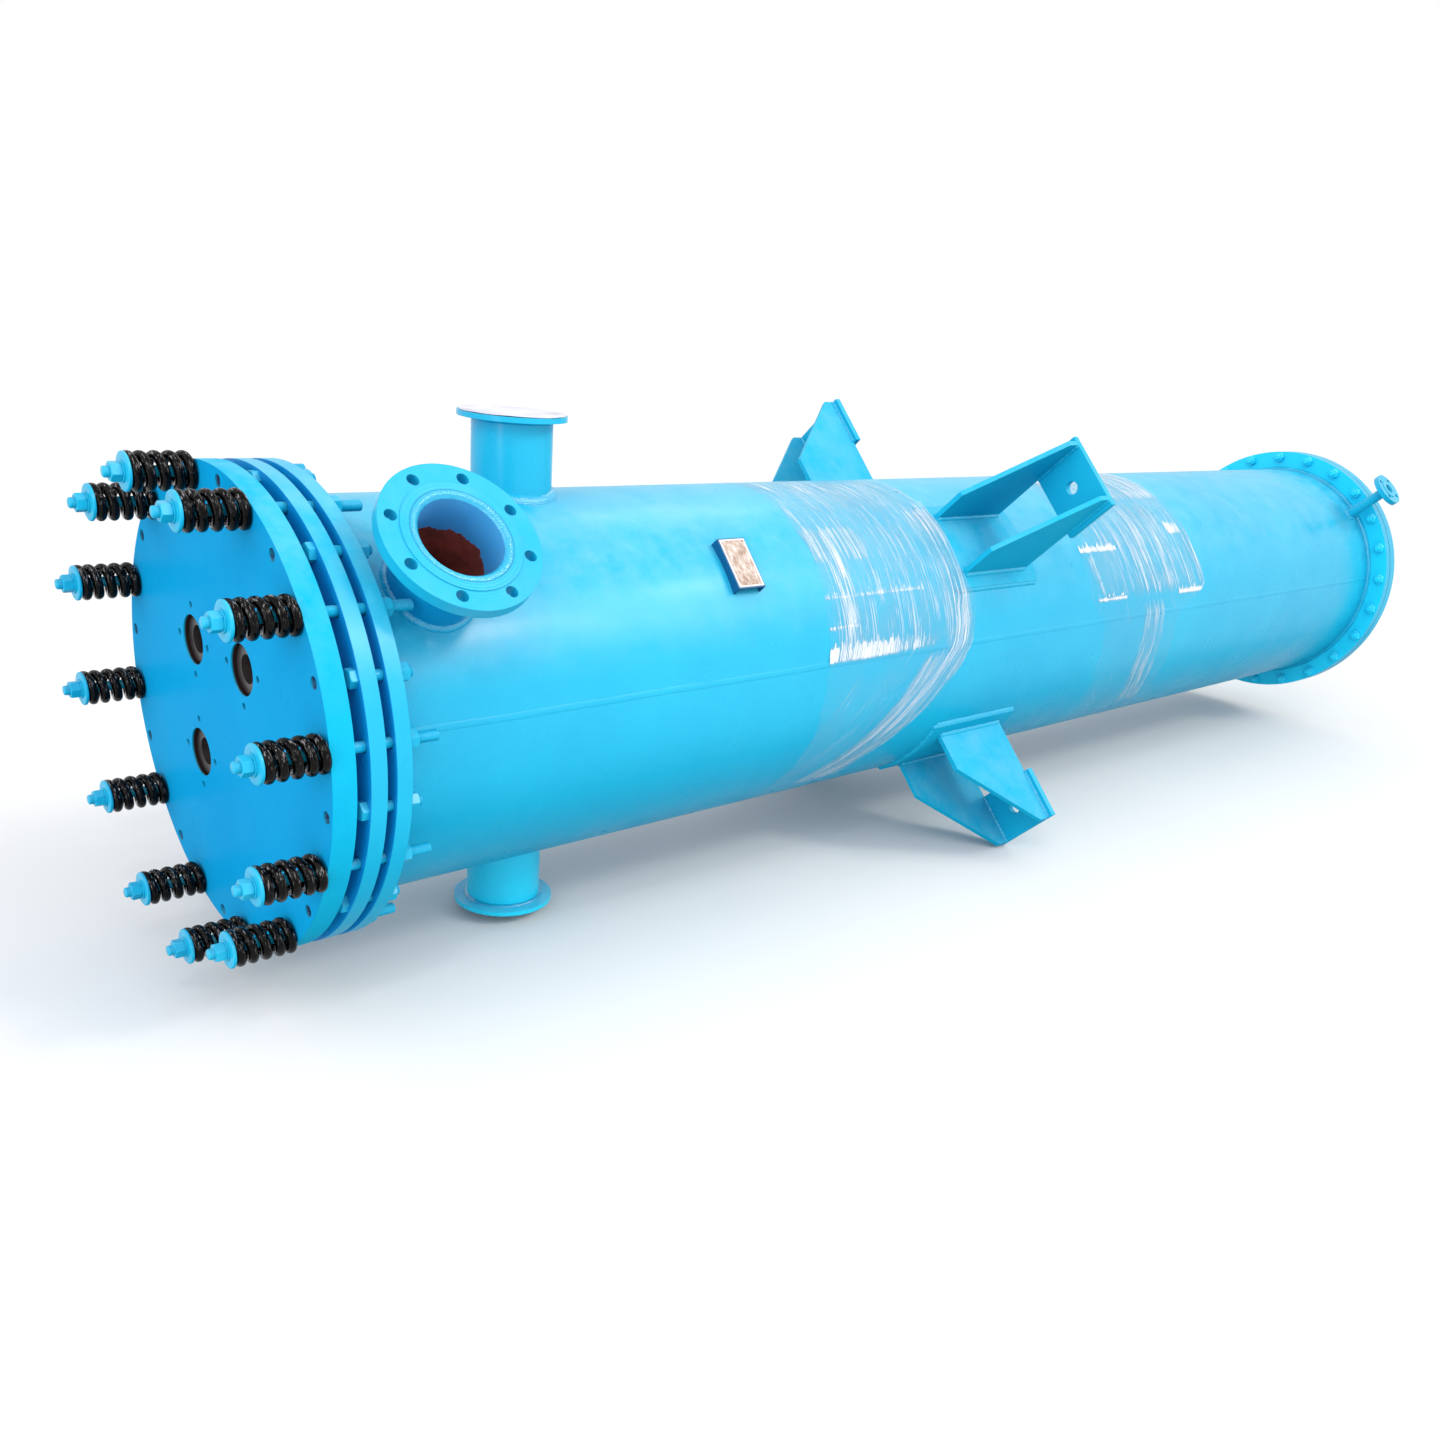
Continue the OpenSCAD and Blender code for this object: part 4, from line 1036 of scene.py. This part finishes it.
def pale_plastic():
    """Milky plastic with grey smudges and a fine pebbled skin."""
    finish, tree, shader, place = new_finish("milky_cover_plastic")
    smudge = noise(tree, place, 12.0, 5.0, 0.7)
    colour = ramp(tree, smudge, (0.30, PLASTIC_DIRTY), (0.50, PLASTIC_GREY), (0.72, PLASTIC_PALE))
    skin = rounded_bump(tree, noise(tree, place, 60.0, 4.0), 0.2, 0.0008, 0.4)
    matt = spread(tree, smudge, 0.3, 0.7, 0.48, 0.26)
    wire(tree, shader, Base_Color=colour, Roughness=matt, Normal=skin)
    return finish


cover_nets = [cover_net()]
cover = make_piece("laid_cover_sheet", cover_nets, pale_plastic(), ("top_cover",), crease=60.0)

# %% [markdown]
# ## The blank nameplate
# A folded bracket holds a small aluminium plate. Beige and rust-brown dirt covers it inside a bare pale
# border, and it carries no words. Four round-headed rivets hold it down. A rivet's head is a quarter circle
# turned round its middle.

# %% Plate stain and rivets
NAME_ALONG, NAME_ANGLE, NAME_FACE = 974.0, 43.0, 394.0 + 1.5
NAME_LOW, NAME_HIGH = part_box("nameplate")
NAME_WIDE = float(NAME_HIGH.x - NAME_LOW.x) / MM
NAME_LONG = float(NAME_HIGH.y - NAME_LOW.y) / MM / np.sin(np.radians(NAME_ANGLE))
STAINS = ((0.28, (0.13, 0.055, 0.035)), (0.40, (0.33, 0.22, 0.17)), (0.52, (0.47, 0.38, 0.33)),
          (0.66, (0.64, 0.61, 0.61)))
BARE_METAL, BORDER = (0.74, 0.74, 0.80), 4.2
RIVET_R, RIVET_H, RIVET_ALONG, RIVET_ACROSS = 2.6, 1.5, 29.0, 50.0


def stained_plate():
    """Dull aluminium with a bare border, under beige dirt with rust-brown splashes along its length."""
    finish, tree, shader, place = new_finish("stained_aluminium")
    own = nozzle_place(tree, place, NAME_ANGLE, NAME_ALONG)
    streaked = node(tree, "Mapping", {"Vector": own, "Scale": (0.16, 0.055, 0.1)}).outputs[0]
    dirt = noise(tree, streaked, 1.0, 6.0, 0.75)
    colour = ramp(tree, dirt, *STAINS)
    spot = node(tree, "SeparateXYZ", {0: own})
    side, end = (spread(tree, maths(tree, "ABSOLUTE", spot.outputs[axis]), edge - BORDER, edge - BORDER + 0.8)
                 for axis, edge in (("X", NAME_WIDE / 2), ("Y", NAME_LONG / 2)))
    border = maths(tree, "MULTIPLY", maths(tree, "MAXIMUM", side, end), 0.85)
    colour = blend(tree, border, colour, BARE_METAL)
    matt = spread(tree, dirt, 0.35, 0.7, 0.70, 0.38)
    skin = rounded_bump(tree, noise(tree, place, 400.0, 4.0), 0.3, 0.0004, 0.4)
    wire(tree, shader, Base_Color=colour, Roughness=matt, Normal=skin, Metallic=0.15)
    return finish


def rivet(along, across):
    """Half a ball, flattened: radius = R cos p, height = H sin p, closed at the top and bottom."""
    t = np.linspace(0.0, 2 * np.pi, 20, endpoint=False)[None, :]
    p = np.linspace(0.0, np.pi / 2, 7)[:, None]
    radius = np.concatenate([np.zeros((1, 1)), RIVET_R * np.cos(p)])
    level = NAME_FACE + np.concatenate([np.zeros((1, 1)), RIVET_H * np.sin(p)]) + 0.0 * t
    across = across + radius * np.sin(t)
    return placed(NAME_ANGLE, NAME_ALONG + along + radius * np.cos(t), across, level), False, True


stain = stained_plate()
dress("nameplate", stain)
rivets = [rivet(a, c) for a in (-RIVET_ALONG, RIVET_ALONG) for c in (-RIVET_ACROSS, RIVET_ACROSS)]
make_piece("nameplate_rivets", rivets, stain, crease=60.0)

# %% [markdown]
# ## Stretch film
# Two bands of clear film were wound round the shell. Film clings where it is tight and wrinkles where it is
# not. The wrinkles run the way the film was pulled: round the drum above, and aslant below, where it was
# drawn under the vessel. So each band is a net on the drum with two edges that wander, and a skin that
# rides over the seam and the pads.

# %% Shape of a film band
RING = np.linspace(-180.0, 180.0, 541)
FILM_CLEAR, SEAM_STEP, PAD_STEP, WRINKLE_DEPTH = 1.0, 2.4, 8.6, 0.28
WRINKLES = ((9.0, 0.5), (17.0, 0.8), (31.0, 0.9))


def wrapped(angle, table):
    """A value at each angle, from a table of (angle, value), with the two ends of the turn joined."""
    places, values = np.array(sorted(table), float).T
    places = np.concatenate([places - 360.0, places, places + 360.0])
    return np.interp(angle, places, np.tile(values, 3))


def softened(values, width=5):
    """A running mean round the turn, so that edges and slants have no sharp corners."""
    body = values[:-1]
    kernel = np.ones(2 * width + 1) / (2 * width + 1)
    smooth = np.convolve(np.concatenate([body[-width:], body, body[:width]]), kernel, "valid")
    return np.append(smooth, smooth[0])


def window(value, start, end, soft):
    """One between start and end, zero outside, with soft shoulders."""
    rise = np.clip((value - start) / soft + 0.5, 0.0, 1.0)
    fall = np.clip((end - value) / soft + 0.5, 0.0, 1.0)
    return rise * rise * (3 - 2 * rise) * fall * fall * (3 - 2 * fall)


def film_radius(along, angle, slant, seed):
    """Drum radius + clearance + the steps over the long seam and the pads + wrinkles, which are sines of the
    place along the vessel less the slant."""
    draw = np.random.default_rng(seed)
    lift = FILM_CLEAR + SEAM_STEP * window(angle, SEAM_ANGLE - 2.2, SEAM_ANGLE + 2.2, 2.4)
    for lug in LUG_ANGLES:
        near = (angle - lug + 180.0) % 360.0 - 180.0
        over_pad = window(near, -22.0, 22.0, 4.0) * window(along, PAD_FROM - 14.0, PAD_TO + 14.0, 12.0)
        lift = lift + PAD_STEP * over_pad
    wrinkles = 0.0
    for wave, share in WRINKLES:
        phase, drift = draw.uniform(0.0, 6.3, 2)
        bend = 2.0 * np.sin(np.radians(angle) * 3 + drift)
        wrinkles = wrinkles + share * np.sin(2 * np.pi * (along - slant) / wave + phase + bend)
    return SHELL_R + lift + WRINKLE_DEPTH * (wrinkles + sum(share for _, share in WRINKLES))


print("rows round the drum:", len(RING) - 1)

# %% [markdown]
# Where the edges run and where the film is crumpled was judged. Edges and slant are short tables of
# an angle round the drum and a place along it, in degrees and millimetres. A patch is a rectangle on the
# drum with soft borders: from and to along the vessel, from and to round it, the softness of both, and how
# crumpled the film is there, from 0 to 1.

# %% Edges and patches of the two bands
FILM_BANDS = {
    "film_band_front": dict(
        left=[(90, 1212), (60, 1200), (20, 1186), (0, 1186), (-30, 1160), (-60, 1110), (-90, 1080),
              (-150, 1120), (150, 1190)],
        right=[(90, 1664), (72, 1686), (62, 1676), (30, 1676), (25, 1700), (8, 1690), (0, 1655), (-21, 1538),
               (-39, 1400), (-60, 1372), (-90, 1360), (-120, 1440), (-150, 1560), (180, 1620), (150, 1650)],
        slant=[(90, 0), (10, 0), (-20, -150), (-45, -315), (-70, -330), (-110, -300), (-160, -120), (150, 0)],
        patches=[
            (1195, 1705, 6, 95, 60, 10, 0.535),  # loose all over the near side
            (1570, 1705, -8, 66, 90, 12, 0.63),  # denser towards the right edge
            (1200, 1660, 60, 92, 80, 14, 0.58),  # denser towards the top
            (1192, 1390, 41, 57, 34, 4, 0.67),  # a block high on the left
            (1225, 1310, 10, 46, 40, 8, 0.65),  # streaks down the left
            (1184, 1222, 7.6, 13.6, 12, 1.6, 0.95),  # a bright corner just above the seam
            (1215, 1430, 7.6, 13.6, 20, 1.6, 0.81),  # a bright strip beside it
            (1410, 1560, 8.0, 12.6, 40, 2.5, 0.66),  # the strip's faint end
            (1190, 1530, 28.6, 30.4, 14, 1.4, 0.73),  # a long thin fold
            (1186, 1290, 18.4, 19.8, 14, 1.2, 0.76),  # a short thin fold
            (1290, 1570, 12, 27, 80, 8, 0.565),  # the middle, lower part
            (1300, 1570, 30, 58, 80, 8, 0.56),  # the middle, upper part
            (1530, 1695, -50, 8, 60, 10, 0.62),  # folds drawn aslant below the seam
            (1300, 1530, -50, 4, 60, 10, 0.43),  # nearly clear beside them
            (1100, 1650, 100, 260, 80, 20, 0.52),  # the far side
        ],
    ),
    "film_band_rear": dict(
        left=[(90, 2215), (60, 2205), (30, 2197), (16, 2212), (5, 2285), (-10, 2290), (-31, 2318),
              (-50, 2395), (-90, 2440), (-150, 2330), (150, 2230)],
        right=[(90, 2770), (60, 2782), (30, 2797), (15, 2818), (9, 2700), (0, 2668), (-25, 2690), (-55, 2830),
               (-90, 2890), (-150, 2840), (150, 2790)],
        slant=[(90, -40), (30, 0), (10, 40), (-20, 60), (-50, 160), (-90, 210), (-150, 100), (150, -20)],
        patches=[
            (2636, 2819, 14.0, 16.2, 12, 1.0, 1.0),  # a bright strip low on the right
            (2214, 2362, 15.2, 16.8, 14, 1.0, 0.95),  # a bright strip low on the left
            (2197, 2392, 36.0, 39.2, 30, 2.0, 0.84),  # a bright strip higher on the left
            (2690, 2772, 41.0, 48.0, 24, 4.0, 0.84),  # a bright spot high on the right
            (2230, 2790, 14, 95, 80, 12, 0.52),  # loose all over the near side
            (2400, 2700, 14, 62, 120, 12, 0.60),  # denser in the middle
            (2430, 2560, -45, 14, 50, 10, 0.58),  # folds drawn aslant below
            (2250, 2800, 60, 95, 90, 10, 0.66),  # denser towards the top
            (2215, 2300, 18, 36, 30, 6, 0.52),  # the left edge
            (2760, 2800, 16, 46, 18, 6, 0.62),  # the right edge
            (2300, 2850, 100, 260, 90, 20, 0.52),  # the far side
        ],
    ),
}
print("patches:", {name: len(band["patches"]) for name, band in FILM_BANDS.items()})

# %% [markdown]
# The sheen of the film is a second job. A photograph of clear film shows white dashes where wrinkles throw
# the sky back, and a milky haze between them. Real wrinkles that fine would need millions of faces, so a
# painted map does it: a smooth value on each point says how crumpled the film is there, and a stretched
# noise turns that into dashes. A second, slower noise makes the haze cloudy.

# %% Film finish
DASHES = ((2.2, 430.0, 0.47), (11.0, 700.0, 0.33), (6.0, 26.0, 0.2))
HAZE_GREY, DASH_WHITE, DASH_ALPHA = (0.45, 0.43, 0.46), (0.84, 0.85, 0.88), 0.74


def clear_film():
    """White dashes and haze on a clear skin. Each layer of dashes has features per metre round and along, and
    a share. The threshold of a dash falls as the crumple value rises; alpha is what shows."""
    finish, tree, shader, _ = new_finish("clear_stretch_film")
    weave = node(tree, "UVMap", uv_map="wrap").outputs[0]
    crumple = node(tree, "Attribute", attribute_name="crumple").outputs["Fac"]
    mixed = 0.0
    for per_m_round, per_m_along, share in DASHES:
        scale = (per_m_round, per_m_along, 1.0)
        stretched = node(tree, "Mapping", {"Vector": weave, "Scale": scale}).outputs[0]
        mixed = maths(tree, "MULTIPLY_ADD", noise(tree, stretched, 1.0, 2.0, 0.6), share, mixed)
    limit = maths(tree, "MULTIPLY_ADD", crumple, -0.36, 0.735)
    bright = spread(tree, maths(tree, "SUBTRACT", mixed, limit), 0.0, 0.045)
    slow = node(tree, "Mapping", {"Vector": weave, "Scale": (7.0, 12.0, 1.0)}).outputs[0]
    cloud = spread(tree, noise(tree, slow, 1.0, 3.0), 0.3, 0.7, 0.55, 1.25)
    haze = maths(tree, "MULTIPLY", maths(tree, "MULTIPLY_ADD", crumple, 0.50, -0.13), cloud)
    alpha = maths(tree, "MAXIMUM", maths(tree, "MULTIPLY", bright, DASH_ALPHA), haze)
    colour = blend(tree, bright, HAZE_GREY, DASH_WHITE)
    matt = maths(tree, "MULTIPLY_ADD", bright, 0.25, 0.22)
    skin = node(tree, "Bump", {"Height": mixed, "Strength": 0.4, "Distance": 0.001}).outputs["Normal"]
    wire(tree, shader, Base_Color=colour, Roughness=matt, Alpha=alpha, Normal=skin, Specular_IOR_Level=0.3)
    return finish


film_finish = clear_film()
print("layers of dashes:", len(DASHES))

# %% [markdown]
# Now the two bands can be made. Beside its shape, a band needs the crumple value on every point and a
# texture map whose second direction is slanted in the same way as the wrinkles, so the dashes lean with the
# film. The map is cut where the turn closes: there the last faces end a whole turn on, and not back at the
# start.

# %% Film bands
CLEAREST, SLANTED_BELOW = 0.36, 50.0


def crumpled(along, angle, slide, patches):
    """How crumpled the film is at each point: the greatest of all patches, each with jagged, soft borders."""
    jagged = 0.9 * np.sin(along / 3.7) + 0.7 * np.sin(along / 1.6 + 1.0) + 0.5 * np.sin(along / 9.0)
    crumple = np.full_like(along, CLEAREST)
    for start, end, low, high, soft_along, soft_round, value in patches:
        place = along - slide * (high < SLANTED_BELOW)
        turn = np.where(angle < low - 90.0, angle + 360.0, angle) + jagged * (angle > low + 2.0)
        spot = window(place, start, end, soft_along) * window(turn, low, high, soft_round)
        crumple = np.maximum(crumple, value * spot)
    return crumple


def wrap_map(mesh, along, slide):
    """Texture map in metres: the way round the drum, and the place along it less the slant."""
    columns = along.shape[1]
    corners = np.empty(len(mesh.loops), np.int32)
    mesh.loops.foreach_get("vertex_index", corners)
    around = np.repeat(np.radians(RING[:-1]) * SHELL_R * MM, columns)[corners]
    last_row = np.arange(len(corners)) // 4 // (columns - 1) == len(RING) - 2
    around = around + ((corners // columns == 0) & last_row) * 2 * np.pi * SHELL_R * MM
    across = ((along - slide)[:-1].ravel() * MM)[corners]
    corner_places = np.stack([around, across], -1).ravel().astype(np.float32)
    mesh.uv_layers.new(name="wrap").data.foreach_set("uv", corner_places)


def film_band(name, left, right, slant, patches):
    """Builds one band: columns run from the left edge to the right, rows go once round the drum."""
    slide = softened(wrapped(RING, slant), 9)[:, None]
    phases = np.random.default_rng(len(name)).uniform(0.0, 6.3, 6)
    ripple = [sum(a * np.sin(k * np.radians(RING) + p) for a, k, p in zip((5.0, 3.0, 2.0), (5, 11, 23), part))
              for part in (phases[:3], phases[3:])]
    start = (softened(wrapped(RING, left)) + ripple[0])[:, None]
    end = (softened(wrapped(RING, right)) + ripple[1])[:, None]
    share = np.linspace(0.0, 1.0, 131)[None, :]
    along = start + (end - start) * share
    angle = RING[:, None] + 0.0 * share
    points = on_shell(along, film_radius(along, angle, slide, len(name)), angle)
    net = [(points[:-1], True, False)]
    piece = make_piece(name, net, film_finish, closed=False, crease=180.0)
    crumple = crumpled(along, angle, slide, patches)[:-1].ravel().astype(np.float32)
    piece.data.attributes.new("crumple", "FLOAT", "POINT").data.foreach_set("value", crumple)
    wrap_map(piece.data, along, slide)


for name, band in FILM_BANDS.items():
    film_band(name, **band)

# %% [markdown]
# ## The hidden joint
# At the far end a rubber sheet sits between flange and cover, and only its rim could be seen, in the gap.
# It still gets a proper finish, because any node may be looked at. The last line lists any node that was
# forgotten.

# %% Gasket rubber
def sheet_rubber():
    """Matt black rubber with pale bloom and a fine cloth mark."""
    finish, tree, shader, place = new_finish("sheet_rubber")
    bloom = noise(tree, place, 45.0, 4.0, 0.6)
    colour = ramp(tree, bloom, (0.35, (0.010, 0.010, 0.011)), (0.75, (0.045, 0.044, 0.043)))
    skin = rounded_bump(tree, noise(tree, place, 800.0, 2.0), 0.3, 0.0003, 0.4)
    wire(tree, shader, Base_Color=colour, Roughness=spread(tree, bloom, 0.3, 0.7, 0.55, 0.75), Normal=skin)
    return finish


dress("far_gasket", sheet_rubber())
shown = [(name, made) for name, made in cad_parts.items() if not made.hide_render]
print("nodes without a finish:", [name for name, made in shown if not made.data.materials])

# %% [markdown]
# ## Floor and light
# The light looks like open daylight, with the sky as a huge soft lamp and a hazy sun on the right. A white
# world stands for the sky. The sun is two lamps, one hazy and one sharper, and a broad lamp on the left
# stands for the brighter side of the sky. Soft panels draw the long gleams on the shell, a tall strip
# lights the edges of pipes, and one small lamp makes welds and springs glint. A pale floor takes the
# contact shadow.

# %% Floor
FLOOR_HALF, FLOOR_TONES = 90.0, ((0.725, 0.73, 0.745), (0.745, 0.75, 0.765))


def pale_floor():
    """An almost white floor with a trace of cloud, so that it isn't a single flat tone."""
    finish, tree, shader, place = new_finish("pale_floor")
    colour = ramp(tree, noise(tree, place, 1.5, 3.0), (0.3, FLOOR_TONES[0]), (0.7, FLOOR_TONES[1]))
    wire(tree, shader, Base_Color=colour, Roughness=0.9, Specular_IOR_Level=0.0)
    return finish


u = np.linspace(-FLOOR_HALF, FLOOR_HALF, 9)
floor_points = np.stack(np.broadcast_arrays(u[:, None], u[None, :], 0.0), -1)
floor_mesh = bpy.data.meshes.new("floor")
floor_mesh.from_pydata(floor_points.reshape(-1, 3), [], net_faces(9, 9, False, False)[:, ::-1])
floor_mesh.materials.append(pale_floor())
floor = bpy.data.objects.new("floor", floor_mesh)
bpy.context.scene.collection.objects.link(floor)
print("floor:", len(floor_mesh.polygons), "faces")

# %% Light
world = bpy.data.worlds.new("daylight")
bpy.context.scene.world = world
world.use_nodes = True
sky = world.node_tree.nodes["Background"]
sky.inputs["Color"].default_value = (1.0, 1.0, 1.0, 1.0)
sky.inputs["Strength"].default_value = 1.0
bpy.context.scene.view_settings.view_transform = "Standard"


def lamp(name, place, target, power, size=0.0, spread_deg=0.0, tint=(1.0, 1.0, 1.0), tall=1.0):
    """A lamp that points from its place at a target: a soft panel, tall times as high as wide, or a sun."""
    light = bpy.data.lights.new(name, "SUN" if spread_deg else "AREA")
    light.energy = power
    light.color = tint
    if spread_deg:
        light.angle = np.radians(spread_deg)
    else:
        light.shape = "RECTANGLE"
        light.size, light.size_y = size, size * tall
    holder = bpy.data.objects.new(name, light)
    bpy.context.scene.collection.objects.link(holder)
    toward = unit(np.array(target, float) - np.array(place, float))
    side = unit(np.cross(toward, (0.0, 0.0, 1.0)))
    up = np.cross(side, toward)
    rows = [[side[k], up[k], -toward[k], place[k]] for k in range(3)]
    holder.matrix_world = Matrix(rows + [[0.0, 0.0, 0.0, 1.0]])
    return holder


WARM = (1.0, 0.965, 0.85)
lamp("hazy_sun", (4.5, -6.0, 6.6), (0.0, 0.0, 0.5), 0.65, spread_deg=34.0, tint=WARM)
lamp("sun_core", (4.5, -6.0, 6.6), (0.0, 0.0, 0.5), 0.60, spread_deg=9.0, tint=WARM)
lamp("left_sky", (-6.0, -1.5, 4.5), (0.0, 0.0, 0.5), 0.85, spread_deg=70.0)
lamp("front_fill", (-1.75, -2.4, 2.8), (1.2, 0.0, 0.6), 22.0, size=2.0)
lamp("roof_light_far", (1.4, 1.51, 3.53), (-1.1, -0.15, 0.89), 9.0, size=0.9)
lamp("roof_light_near", (1.5, -1.79, 3.42), (-1.1, -0.3, 0.77), 11.0, size=0.5)
lamp("left_strip", (-3.89, -1.17, 0.95), (-1.37, 0.0, 0.95), 9.0, size=0.45, tall=3.6)
lamp("glint", (-3.4, -2.4, 3.6), (-2.0, -0.2, 0.6), 12.0, size=0.15)

# %% [markdown]
# ## Camera
# The camera's place and lens were worked out from the circles of the flanges, so that the model falls on
# the picture. Three directions give its turn: right, down and ahead. The lens is shifted, because the
# middle of the picture is not where the lens points.

# %% Camera
camera_data = bpy.data.cameras.new("camera")
camera = bpy.data.objects.new("camera", camera_data)
bpy.context.scene.collection.objects.link(camera)
bpy.context.scene.camera = camera
PICTURE, FOCAL, CENTRE_X, CENTRE_Y = 1440.0, 1271.8377, 748.506, 816.861
RIGHT = (0.73463912, -0.67247461, 0.089907)
DOWN = (-0.18990383, -0.33103536, -0.9243117)
AHEAD = (0.65133854, 0.66196185, -0.37089703)
EYE = (-2.80074, -2.21121, 1.29914)
camera_rows = [[RIGHT[k], -DOWN[k], -AHEAD[k], EYE[k]] for k in range(3)]
camera.matrix_world = Matrix(camera_rows + [[0.0, 0.0, 0.0, 1.0]])
camera_data.sensor_width = 36.0
camera_data.lens = 36.0 * FOCAL / PICTURE
camera_data.shift_x = (PICTURE / 2 - CENTRE_X) / PICTURE
camera_data.shift_y = (CENTRE_Y - PICTURE / 2) / PICTURE
camera_data.clip_end = 200.0
print("lens in mm:", round(camera_data.lens, 3))
